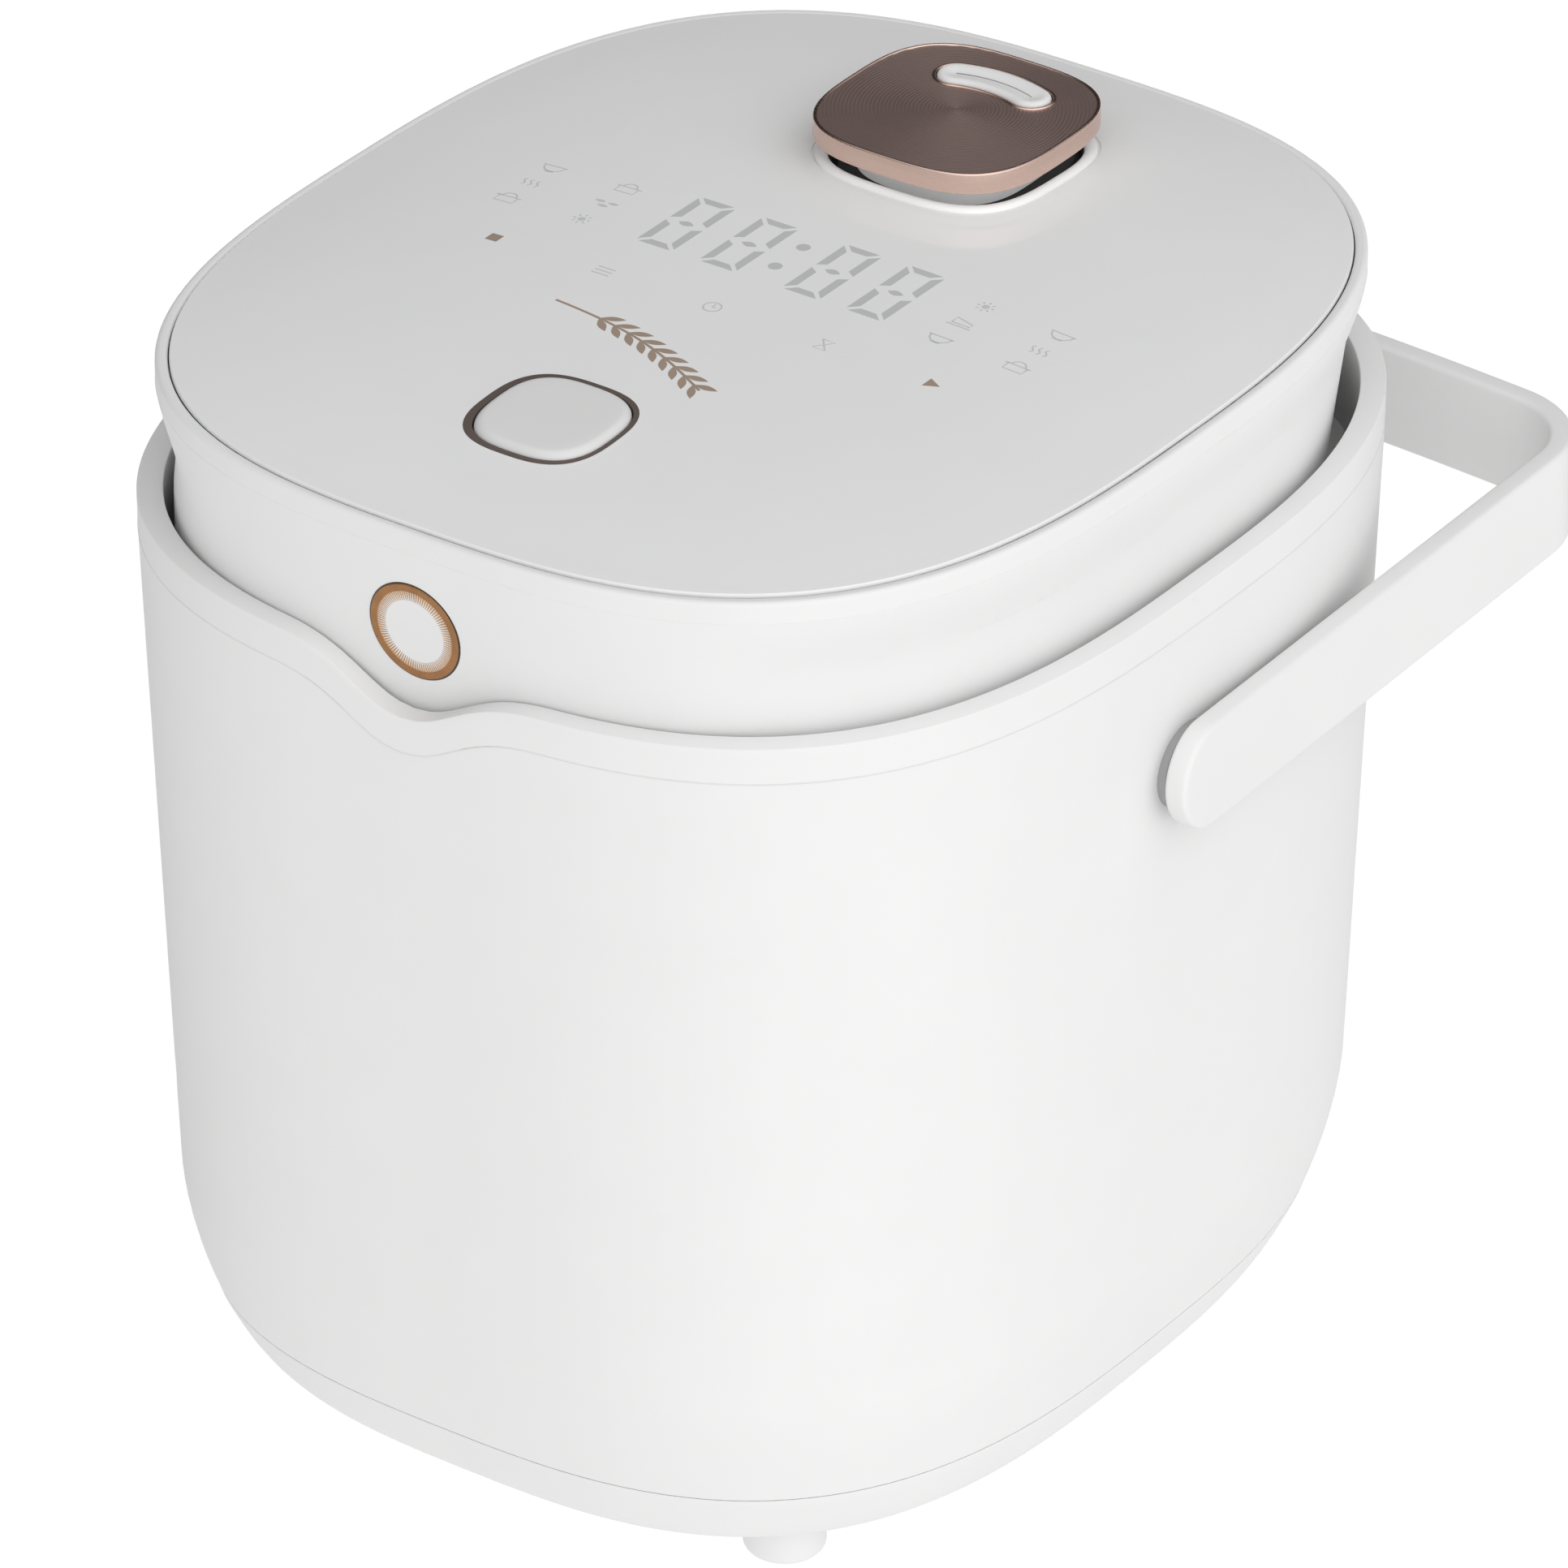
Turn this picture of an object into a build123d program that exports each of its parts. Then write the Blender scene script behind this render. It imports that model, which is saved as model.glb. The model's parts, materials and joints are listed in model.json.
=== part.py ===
from build123d import *
import math
import os

# Rice cooker with a crowned touch panel, a lift-out steam cap, a sprung opening button
# and a strap handle that folds to the back. Millimetres, X to the right, Y to the back, Z up.
# Heights are measured from the table. Plan positions are measured from the axis of the pot
# and moved at the end, so that the frame's origin is the middle of the footprint.

# Body
RIM_WIDTH = 230.0
RIM_DEPTH = 262.0
OUTLINE_POWER = 2.87
OUTLINE_POINTS = 32
FOOT_HEIGHT = 11.9
BODY_HEIGHT = 208.3
WALL = 2.5
DRAFT = 0.031
EDGE_INSET = 14.7
EDGE_RISE = 42.0
EDGE_POWER = 1.6
BASE_SEAM_HEIGHT = 16.8
BASE_FLOOR = 2.5
FLANGE_RISE = 4.2
FIT = 0.2
SEAM_GAP = 0.25

# Collar and deck
COLLAR_WALL = 5.1
COLLAR_HEIGHT = 8.4
COLLAR_ROUND = 1.0
WAVE_HALF = 34.0
WAVE_DEPTH = 10.4
DECK_DROP = 23.8
DECK_THICK = 4.0

# Feet
FOOT_X = 62.0
FOOT_Y = 81.0
FOOT_RADIUS = 9.1
FOOT_ROUND = 2.6
PAD_RADIUS = 6.2
PAD_THICK = 2.5
PAD_PROUD = 0.5
BOSS_RADIUS = 4.5
BOSS_RISE = 43.5
RIB_THICK = 2.0
SCREW_RADIUS = 1.6
SCREW_HEAD_RADIUS = 3.2
SCREW_HEAD_HEIGHT = 2.0
BASE_SCREW_REACH = 16.0
SCREW_FIT = 0.05

# Pot, bucket and hotplate
POT_RADIUS = 89.0
POT_WALL = 2.0
POT_DEPTH = 124.0
POT_FLANGE_RADIUS = 97.0
POT_ROUND = 18.0
BUCKET_GAP = 3.0
BUCKET_WALL = 1.0
BUCKET_FLANGE_RADIUS = 98.0
BUCKET_HOLE_RADIUS = 62.0
HOTPLATE_RADIUS = 76.0
HOTPLATE_THICK = 14.0
POST_HEIGHT = 7.0
POST_RADIUS = 4.5
POST_CIRCLE = 69.0
POST_COUNT = 3
ELEMENT_CIRCLE = 52.0
ELEMENT_RADIUS = 3.5
ELEMENT_SWEEP = 320.0
ELEMENT_PIN_LENGTH = 14.0
ELEMENT_PIN_RADIUS = 2.0

# Temperature sensor
SENSOR_RADIUS = 15.0
SENSOR_SIDE_GAP = 1.2
SENSOR_CAP_HEIGHT = 12.0
SENSOR_POT_GAP = 0.1
SENSOR_TRAVEL = 2.5
SLEEVE_WALL = 2.0
SLEEVE_HEIGHT = 17.0
SLEEVE_FLOOR = 2.0
STEM_RADIUS = 4.0
STEM_BELOW = 5.0
STEM_CLIP_RADIUS = 5.6
STEM_CLIP_THICK = 1.4
RUN_FIT = 0.06
SENSOR_COIL_RADIUS = 7.0
SENSOR_COIL_WIRE = 0.5
SENSOR_COIL_TURNS = 6

# Electronics in the base
BOARD_WIDTH = 110.0
BOARD_DEPTH = 50.0
BOARD_THICK = 1.6
BOARD_Y = -50.0
STANDOFF_HEIGHT = 6.0
STANDOFF_RADIUS = 3.5
STANDOFF_INSET = 6.0
TRANSFORMER_SIZE = (34.0, 28.0, 20.0)
TRANSFORMER_X = -30.0
RELAY_SIZE = (19.0, 15.5, 15.5)
RELAY_X = 12.0
RELAY_ROUND = 1.0
TERMINAL_SIZE = (12.0, 40.0, 12.0)
TERMINAL_X = 42.0
TERMINAL_BORE_RADIUS = 1.6
TERMINAL_PITCH = 9.0
TERMINAL_COUNT = 4
FUSE_RADIUS = 2.5
FUSE_LENGTH = 18.0
FUSE_X = 34.0
FUSE_CLIP_THICK = 1.0

# Mains inlet in the back wall
INLET_WIDTH = 30.0
INLET_HEIGHT = 18.0
INLET_WALL = 2.5
INLET_DEPTH = 18.0
INLET_PROUD = 0.8
INLET_FLANGE = 4.0
INLET_FLANGE_THICK = 2.0
INLET_RISE = 67.5
INLET_PIN_RADIUS = 1.6
INLET_PIN_PITCH = 15.0
INLET_PIN_LENGTH = 12.0
INLET_TAIL = 5.0

# Lid
LID_WIDTH = 220.3
LID_DEPTH = 255.5
LID_RISE = 32.0
LID_CROWN = 5.4
LID_HEIGHT = 51.8
LID_DRAFT = 0.114
LID_FLARE = 2.0
FLARE_START = 5.0
FLARE_LENGTH = 15.0
LIP_WIDTH = 2.6
LIP_ROUND = 1.0
PANEL_GAP = 0.4
PANEL_THICK = 2.4
LEDGE_WIDTH = 6.0
LEDGE_THICK = 2.5
LID_BASE_THICK = 3.0
LID_BASE_RISE = 3.0
LID_BOSS_X = 93.2
LID_BOSS_Y = 45.0
LID_BOSS_RADIUS = 6.5
LID_BOSS_HEIGHT = 24.0
LID_SCREW_REACH = 12.0

# Steam plate under the lid
INNER_LID_RADIUS = 95.0
INNER_LID_THICK = 1.2
GASKET_INNER_RADIUS = 90.0
GASKET_OUTER_RADIUS = 98.0
GASKET_POT_GAP = 0.3
GASKET_GROOVE_FIT = 0.1
INNER_LID_DROP = 1.0
GROMMET_RADIUS = 9.0
GROMMET_NECK_RADIUS = 6.9
GROMMET_LIP = 1.1
PEG_RADIUS = 4.0
PEG_FIT = 0.1

# Emblem on the front of the lid
EMBLEM_DEPTH = 24.3
EMBLEM_RADIUS = 11.7
EMBLEM_RING_WIDTH = 1.9
EMBLEM_THICK = 1.4
EMBLEM_PROUD = 0.35
EMBLEM_FIT = 0.08

# Opening button
BUTTON_Y = -77.4
BUTTON_HALF = 15.3
BUTTON_POWER = 2.8
BUTTON_PROUD = 1.5
BUTTON_HEIGHT = 9.0
BUTTON_ROUND = 1.3
BUTTON_GAP = 0.4
BUTTON_TRAVEL = 2.5
BEZEL_WIDTH = 1.15
BEZEL_HEIGHT = 6.0
BEZEL_PROUD = 0.15
BEZEL_FIT = 0.1
BUTTON_STEM_RADIUS = 4.0
BUTTON_COIL_RADIUS = 6.5
BUTTON_COIL_WIRE = 0.45
BUTTON_COIL_TURNS = 4
BRIDGE_HALF = 18.0
BRIDGE_LENGTH = 17.0
BRIDGE_LEG = 3.0
BRIDGE_THICK = 3.0
SPRING_ROOM = 8.0

# Latch
LATCH_PIVOT_Y = -110.0
LATCH_PIVOT_RISE = 19.0
LATCH_HALF = 8.0
LATCH_PIN_RADIUS = 1.5
LATCH_HUB_RADIUS = 4.0
LATCH_ARM_THICK = 4.0
LATCH_HOOK_THICK = 4.0
LATCH_HOOK_BELOW = 26.0
LATCH_NOSE = 2.0
LATCH_NOSE_HEIGHT = 3.0
LATCH_STEM_GAP = 0.3
LATCH_LUG = 3.0
LATCH_LUG_GAP = 0.4
LATCH_SLOT_FRONT = 8.0
LATCH_SLOT_BACK = 11.0
LATCH_COIL_Y = -92.0
LATCH_COIL_RADIUS = 3.0
LATCH_COIL_WIRE = 0.4
LATCH_COIL_TURNS = 6
CATCH_GAP = 0.4
CATCH_DEPTH = 5.0
CATCH_HALF = 7.0
CATCH_HEIGHT = 9.5
CATCH_NOTCH = 2.2
CATCH_LEDGE = 3.0

# Steam vent
VENT_Y = 71.3
VENT_POWER = 3.1
VENT_HALF = 27.8
CAP_BAND = 5.0
CAP_TOP_ABOVE_LIP = 14.2
CAP_WALL = 1.5
CAP_EDGE = 0.5
SOCKET_BEAD = 3.0
SOCKET_PROUD = 1.2
SOCKET_WALL = 1.8
SOCKET_DEPTH = 13.0
SOCKET_TUBE_RADIUS = 8.0
SOCKET_TUBE_WALL = 1.6
PLUG_GAP = 1.3
PLUG_REACH = 7.0
PLUG_WALL = 1.8
CAP_GASKET_WIDTH = 0.8
CAP_GASKET_HEIGHT = 2.5
CAP_GASKET_LIFT = 1.5
SLOT_RADIUS = 12.75
SLOT_CENTRE_Y = 4.55
SLOT_HALF_ANGLE = 53.0
SLOT_WIDTH = 8.0
SLOT_FIT = 0.25
SLOT_PROUD = 0.8
SLOT_DISH = 0.9
SLOT_RIM = 1.6
VENT_SEAL_HEIGHT = 5.0
VENT_SEAL_WALL = 2.0

# Display under the panel
DISPLAY_BOARD_WIDTH = 150.0
DISPLAY_BOARD_DEPTH = 46.0
DISPLAY_BOARD_Y = -3.0
DISPLAY_BOARD_DROP = 6.5
DISPLAY_WIDTH = 70.0
DISPLAY_DEPTH = 28.0
DISPLAY_Y = 7.6
DISPLAY_GAP = 0.5
KEY_COIL_RADIUS = 3.0
KEY_COIL_WIRE = 0.3
KEY_COIL_TURNS = 3
KEY_PLACES = [(-57.0, -19.8), (-28.4, -19.8), (0.0, -19.8), (28.4, -19.8), (57.0, -19.8)]
KEY_GAP = 0.3

# Hinge at the back
HINGE_BEHIND = 6.0
HINGE_ABOVE = 3.2
KNUCKLE_RADIUS = 5.5
HINGE_PIN_RADIUS = 2.0
HINGE_SPRING_HALF = 13.0
HINGE_MIDDLE_HALF = 24.0
HINGE_ARM_WIDTH = 13.2
HINGE_EAR = 8.0
HINGE_GAP = 0.4
HINGE_PLATE_DROP = 27.0
HINGE_PLATE_THICK = 3.5
ARM_RIM_GAP = 1.1
ARM_THICK = 6.5
HINGE_COIL_RADIUS = 3.6
HINGE_COIL_WIRE = 0.6
HINGE_COIL_TURNS = 8
PIN_FIT = 0.03

# Carry handle
HANDLE_PIVOT_Y = -9.0
HANDLE_PIVOT_DROP = 41.0
HANDLE_HEIGHT = 24.2
HANDLE_THICK = 5.4
HANDLE_HALF = 122.3
HANDLE_CORNER_HALF = 118.6
HANDLE_CORNER_Y = 151.4
HANDLE_BACK_Y = 158.1
HANDLE_CORNER_ROUND = 24.0
HANDLE_SIDE_GAP = 0.35
PIVOT_PIN_RADIUS = 3.0
PIVOT_PIN_INTO_ARM = 3.4
PIVOT_PIN_HEAD_RADIUS = 6.0
PIVOT_PIN_HEAD = 2.0
PIVOT_BOSS_RADIUS = 11.4

# Levels worked out from the sizes above
BASE_Z = FOOT_HEIGHT
BASE_SEAM_Z = BASE_Z + BASE_SEAM_HEIGHT
EDGE_TOP_Z = BASE_Z + EDGE_RISE
BOSS_TOP_Z = BASE_Z + BOSS_RISE
INLET_Z = BASE_Z + INLET_RISE
RIM_Z = BASE_Z + BODY_HEIGHT
SEAM_Z = RIM_Z - COLLAR_HEIGHT
DECK_Z = RIM_Z - DECK_DROP
LIP_Z = RIM_Z + LID_RISE
LID_BOTTOM_Z = LIP_Z - LID_HEIGHT
FLARE_TOP_Z = LIP_Z - FLARE_START
FLARE_LOW_Z = FLARE_TOP_Z - FLARE_LENGTH
FLOOR_Z = BASE_Z + BASE_FLOOR
POT_TOP_Z = DECK_Z + BUCKET_WALL + POT_WALL
POT_BOTTOM_Z = POT_TOP_Z - POT_DEPTH
HOTPLATE_Z = POT_BOTTOM_Z - HOTPLATE_THICK
BUCKET_FLOOR_Z = HOTPLATE_Z - POST_HEIGHT
LID_BASE_Z = LID_BOTTOM_Z + LID_BASE_RISE
LID_BASE_TOP_Z = LID_BASE_Z + LID_BASE_THICK
LATCH_PIVOT_Z = LID_BASE_TOP_Z + LATCH_PIVOT_RISE
FRAME_SHIFT = (HANDLE_BACK_Y - RIM_DEPTH / 2) / 2
REACH = 2 * RIM_DEPTH


def outline(half_x, half_y, power, z, centre_y=0.0):
    """Closed smooth wire |x/half_x|^power + |y/half_y|^power = 1 at height z."""
    angles = [2 * math.pi * step / OUTLINE_POINTS for step in range(OUTLINE_POINTS + 1)]
    points = []
    for angle in angles[:-1]:
        across = abs(math.cos(angle) / half_x) ** power
        along = abs(math.sin(angle) / half_y) ** power
        radius = (across + along) ** (-1 / power)
        points.append((radius * math.cos(angle), centre_y + radius * math.sin(angle), z))
    return Wire([Edge.make_spline(points, periodic=True, parameters=angles)])


def prism(half_x, half_y, power, z_low, z_high, centre_y=0.0):
    """Upright prism of a superellipse."""
    return extrude(Face(outline(half_x, half_y, power, z_low, centre_y)), z_high - z_low, dir=(0, 0, 1))


def squircle(half, power, z_low, z_high, centre_y):
    """Upright prism of a superellipse as deep as it is wide."""
    return prism(half, half, power, z_low, z_high, centre_y)


def block(x_range, y_range, z_range):
    """Box between two corners."""
    sizes = [high - low for low, high in (x_range, y_range, z_range)]
    centre = [(high + low) / 2 for low, high in (x_range, y_range, z_range)]
    return Pos(*centre) * Box(*sizes)


def rod_z(x, y, z_range, radius):
    """Upright cylinder."""
    low, high = z_range
    return Pos(x, y, (low + high) / 2) * Cylinder(radius, high - low)


def rod_x(x_range, y, z, radius):
    """Cylinder along X."""
    low, high = x_range
    return Pos((low + high) / 2, y, z) * Rot(0, 90, 0) * Cylinder(radius, high - low)


def rod_y(x, y_range, z, radius):
    """Cylinder along Y."""
    low, high = y_range
    return Pos(x, (low + high) / 2, z) * Rot(90, 0, 0) * Cylinder(radius, high - low)


def coil(radius, wire, height, turns):
    """Coil spring standing on z = 0, its wire inside the given height."""
    rise = height - 2 * wire
    path = Helix(rise / turns, rise, radius)
    section = Plane(path @ 0, z_dir=path % 0) * Circle(wire)
    return Pos(0, 0, wire) * sweep(section, path=path, is_frenet=True)


def turned(points):
    """Solid of revolution about Z from (radius, height) points."""
    profile = make_face(Polyline(*[(radius, 0, height) for radius, height in points], close=True))
    return revolve(profile, Axis.Z)


def body_inset(z):
    """How far the outer wall stands inside the rim outline: draft, then the rounded bottom edge."""
    inset = DRAFT * (SEAM_Z - z)
    rise = (z - BASE_Z) / EDGE_RISE
    if rise < 1:
        inset += EDGE_INSET * (1 - (1 - (1 - rise) ** EDGE_POWER) ** (1 / EDGE_POWER))
    return inset


def body_wire(z, extra):
    """Body outline at a height, moved inwards by an extra amount."""
    inset = body_inset(z) + extra
    return outline(RIM_WIDTH / 2 - inset, RIM_DEPTH / 2 - inset, OUTLINE_POWER, z)


def body_edge(heights, extra):
    """Solid inside the rounded bottom edge of the body, through the given heights."""
    return Solid.make_loft([body_wire(z, extra) for z in heights])


def body_straight(z_low, extra):
    """Solid inside the straight, drafted part of the body, up to the collar seam."""
    return Solid.make_loft([body_wire(z_low, extra), body_wire(SEAM_Z, extra)], True)


def body_above_base(extra):
    """Solid inside the body from the base seam up to the collar seam."""
    rounded = body_edge(spread(BASE_SEAM_Z, EDGE_TOP_Z, 5), extra)
    return rounded + body_straight(EDGE_TOP_Z, extra)


def rim_prism(inset, z_low, z_high):
    """Upright prism of the rim outline, moved inwards."""
    return prism(RIM_WIDTH / 2 - inset, RIM_DEPTH / 2 - inset, OUTLINE_POWER, z_low, z_high)


def above_wave(z):
    """Everything above a level that dips in a smooth wave at the front."""
    y_front = -RIM_DEPTH
    left = (-WAVE_HALF, y_front, z)
    low = (0, y_front, z - WAVE_DEPTH)
    right = (WAVE_HALF, y_front, z)
    level = (1, 0, 0)
    dip = Edge.make_spline([left, low, right], tangents=[level, level, level])
    top_right = (WAVE_HALF, y_front, z + WAVE_DEPTH)
    top_left = (-WAVE_HALF, y_front, z + WAVE_DEPTH)
    ring = [right, top_right, top_left, left]
    sides = [Edge.make_line(start, end) for start, end in zip(ring, ring[1:])]
    trough = extrude(Face(Wire([dip] + sides)), RIM_DEPTH, dir=(0, 1, 0))
    return block((-REACH, REACH), (-REACH, REACH), (z, z + REACH)) + trough


def lid_inset(depth):
    """How far the lid's side stands inside the lip outline, at a depth below the lip."""
    below = max(depth - FLARE_START, 0.0)
    step = min(below / FLARE_LENGTH, 1.0)
    return LID_DRAFT * below + LID_FLARE * step * step * (3 - 2 * step)


def lid_wire(z, extra):
    """Lid outline at a height, moved inwards by an extra amount."""
    inset = lid_inset(LIP_Z - z) + extra
    return outline(LID_WIDTH / 2 - inset, LID_DEPTH / 2 - inset, OUTLINE_POWER, z)


def lid_side(extra):
    """Solid inside the lid's side: a straight part below and the flare under the lip."""
    flare = Solid.make_loft([lid_wire(z, extra) for z in spread(FLARE_LOW_Z, FLARE_TOP_Z, 5)])
    return flare + Solid.make_loft([lid_wire(LID_BOTTOM_Z, extra), lid_wire(FLARE_LOW_Z, extra)], True)


def lip_prism(inset, z_low, z_high):
    """Upright prism of the lip outline, moved inwards."""
    return prism(LID_WIDTH / 2 - inset, LID_DEPTH / 2 - inset, OUTLINE_POWER, z_low, z_high)


def crown_height(x, y):
    """Height of the crowned panel above the lip at a place in plan."""
    across = abs(2 * x / LID_WIDTH) ** OUTLINE_POWER
    along = abs(2 * y / LID_DEPTH) ** OUTLINE_POWER
    return LIP_Z + LID_CROWN * (1 - across - along)


def above_crown(offset):
    """Everything above the crowned panel surface, shifted up by an offset."""
    steps = 12
    rows = []
    for i in range(steps + 1):
        x = RIM_WIDTH * (i / steps - 0.5)
        row = []
        for j in range(steps + 1):
            y = RIM_DEPTH * (j / steps - 0.5)
            row.append((x, y, crown_height(x, y) + offset))
        rows.append(row)
    return Solid.extrude(Face.make_surface_from_array_of_points(rows), Vector(0, 0, LID_HEIGHT))


def spread(low, high, count):
    """Evenly spaced heights from low to high."""
    return [low + (high - low) * step / (count - 1) for step in range(count)]


def edge_heights(low, high):
    """Heights through the rounded bottom edge, closer together near the base."""
    count = 7
    start = math.sqrt(low - BASE_Z)
    end = math.sqrt(high - BASE_Z)
    return [BASE_Z + (start + (end - start) * step / (count - 1)) ** 2 for step in range(count)]


nodes = {}

# Outer shell with four screw bosses on ribs, holes for the handle pins and the inlet
outer_shell = body_above_base(0.0) - body_above_base(WALL)
foot_places = {
    "front_left": (-FOOT_X, -FOOT_Y),
    "front_right": (FOOT_X, -FOOT_Y),
    "rear_left": (-FOOT_X, FOOT_Y),
    "rear_right": (FOOT_X, FOOT_Y),
}
flange_high = BASE_SEAM_Z + FLANGE_RISE
rib_height = BOSS_TOP_Z - flange_high - FIT
body_middle = body_above_base(WALL / 2)
for x, y in foot_places.values():
    boss = rod_z(x, y, (FLOOR_Z, BOSS_TOP_Z), BOSS_RADIUS)
    rib_angle = math.degrees(math.atan2(y, x))
    rib = Pos(x, y, BOSS_TOP_Z - rib_height / 2) * Rot(0, 0, rib_angle)
    rib = rib * Pos(FOOT_X / 2, 0, 0) * Box(FOOT_X, RIB_THICK, rib_height)
    pilot = rod_z(x, y, (FLOOR_Z - 1, FLOOR_Z + BASE_SCREW_REACH + 1), SCREW_RADIUS + SCREW_FIT)
    outer_shell = outer_shell + (rib & body_middle) + boss - pilot

handle_pivot_z = RIM_Z - HANDLE_PIVOT_DROP
pivot_hole = rod_x((-REACH, REACH), HANDLE_PIVOT_Y, handle_pivot_z, PIVOT_PIN_RADIUS + PIN_FIT)
outer_shell = outer_shell - pivot_hole - above_wave(SEAM_Z)

inlet_back = RIM_DEPTH / 2 - body_inset(INLET_Z)
inlet_half = INLET_WIDTH / 2 + INLET_WALL
inlet_rise = INLET_HEIGHT / 2 + INLET_WALL
inlet_cut = block(
    (-inlet_half - FIT, inlet_half + FIT),
    (inlet_back - INLET_DEPTH, inlet_back + INLET_DEPTH),
    (INLET_Z - inlet_rise - FIT, INLET_Z + inlet_rise + FIT),
)
nodes["outer_shell"] = outer_shell - inlet_cut

# Collar: rim ring above the seam and a skirt inside the shell, standing on the deck
skirt_inset = WALL + body_inset(DECK_Z) + FIT
collar_ring = rim_prism(0.0, SEAM_Z - WAVE_DEPTH, RIM_Z) & above_wave(SEAM_Z + SEAM_GAP)
collar = collar_ring + rim_prism(skirt_inset, DECK_Z, RIM_Z)
collar = collar - rim_prism(COLLAR_WALL, DECK_Z - 1, RIM_Z + 1) - above_wave(RIM_Z)
top_edges = [edge for edge in collar.edges() if edge.bounding_box().max.Z > RIM_Z - COLLAR_ROUND / 2]
rim_edges = [edge for edge in top_edges if edge.bounding_box().size.X > WAVE_HALF]
nodes["collar"] = fillet(rim_edges, COLLAR_ROUND)

# Deck ring round the mouth of the pot
bucket_radius = POT_RADIUS + BUCKET_GAP + BUCKET_WALL
deck_inset = WALL + body_inset(DECK_Z - DECK_THICK) + FIT
deck = rim_prism(deck_inset, DECK_Z - DECK_THICK, DECK_Z)
nodes["deck_ring"] = deck - rod_z(0, 0, (DECK_Z - REACH, DECK_Z + 1), bucket_radius + FIT)

# Base tray with a register flange inside the shell and standoffs for the board
base_outer = body_edge(edge_heights(BASE_Z, BASE_SEAM_Z - SEAM_GAP), 0.0)
base_hollow = body_edge(edge_heights(FLOOR_Z, BASE_SEAM_Z), WALL)
flange_inset = body_inset(BASE_SEAM_Z) + WALL + FIT
flange_low = BASE_SEAM_Z - WALL
flange = rim_prism(flange_inset, flange_low, flange_high)
flange = flange - rim_prism(flange_inset + WALL, flange_low - 1, flange_high + 1)
base_tray = base_outer - base_hollow + flange
board_z = FLOOR_Z + STANDOFF_HEIGHT
standoff_x = BOARD_WIDTH / 2 - STANDOFF_INSET
standoff_y = BOARD_DEPTH / 2 - STANDOFF_INSET
for x in (-standoff_x, standoff_x):
    for y in (BOARD_Y - standoff_y, BOARD_Y + standoff_y):
        base_tray = base_tray + rod_z(x, y, (FLOOR_Z - 1, board_z), STANDOFF_RADIUS)
base_solid = base_tray
for x, y in foot_places.values():
    rib_room = rod_z(x, y, (FLOOR_Z, BOSS_TOP_Z), BOSS_RADIUS + FIT)
    screw_hole = rod_z(x, y, (BASE_Z - 1, FLOOR_Z + 1), SCREW_RADIUS + SCREW_FIT)
    base_solid = base_solid - rib_room - screw_hole
nodes["base_tray"] = base_solid

# Feet, their rubber pads and the screws that hold feet and base to the shell
pads = []
base_screws = []
for place, (x, y) in foot_places.items():
    foot = rod_z(x, y, (PAD_PROUD, BASE_SEAM_Z), FOOT_RADIUS)
    foot = fillet(foot.edges().group_by(Axis.Z)[0], FOOT_ROUND) - base_outer
    foot = foot.solids().sort_by(Axis.Z)[0]
    foot = foot - rod_z(x, y, (0, PAD_THICK), PAD_RADIUS + FIT)
    head_z = PAD_THICK + SCREW_HEAD_HEIGHT
    foot = foot - rod_z(x, y, (0, head_z), SCREW_HEAD_RADIUS + FIT)
    foot = foot - rod_z(x, y, (0, BASE_SEAM_Z), SCREW_RADIUS + SCREW_FIT)
    nodes["foot_" + place] = foot
    pads.append(rod_z(x, y, (0, PAD_THICK), PAD_RADIUS))
    screw = rod_z(x, y, (PAD_THICK, head_z), SCREW_HEAD_RADIUS)
    base_screws.append(screw + rod_z(x, y, (head_z, FLOOR_Z + BASE_SCREW_REACH), SCREW_RADIUS))
nodes["foot_pads"] = pads
nodes["base_screws"] = base_screws

# Pot, with a rounded bottom edge and a rolled flange
pot_outside = rod_z(0, 0, (POT_BOTTOM_Z, POT_TOP_Z), POT_RADIUS)
pot_outside = fillet(pot_outside.edges().group_by(Axis.Z)[0], POT_ROUND)
pot_inside = rod_z(0, 0, (POT_BOTTOM_Z + POT_WALL, POT_TOP_Z), POT_RADIUS - POT_WALL)
pot_inside = fillet(pot_inside.edges().group_by(Axis.Z)[0], POT_ROUND - POT_WALL)
pot_flange = rod_z(0, 0, (POT_TOP_Z - POT_WALL, POT_TOP_Z), POT_FLANGE_RADIUS)
nodes["inner_pot"] = pot_outside + pot_flange - pot_inside

# Heat bucket hanging in the deck ring by its flange
bucket_inner = bucket_radius - BUCKET_WALL
nodes["heat_bucket"] = turned([
    (BUCKET_HOLE_RADIUS, BUCKET_FLOOR_Z - BUCKET_WALL),
    (bucket_radius, BUCKET_FLOOR_Z - BUCKET_WALL),
    (bucket_radius, DECK_Z),
    (BUCKET_FLANGE_RADIUS, DECK_Z),
    (BUCKET_FLANGE_RADIUS, DECK_Z + BUCKET_WALL),
    (bucket_inner, DECK_Z + BUCKET_WALL),
    (bucket_inner, BUCKET_FLOOR_Z),
    (BUCKET_HOLE_RADIUS, BUCKET_FLOOR_Z),
])

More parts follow.
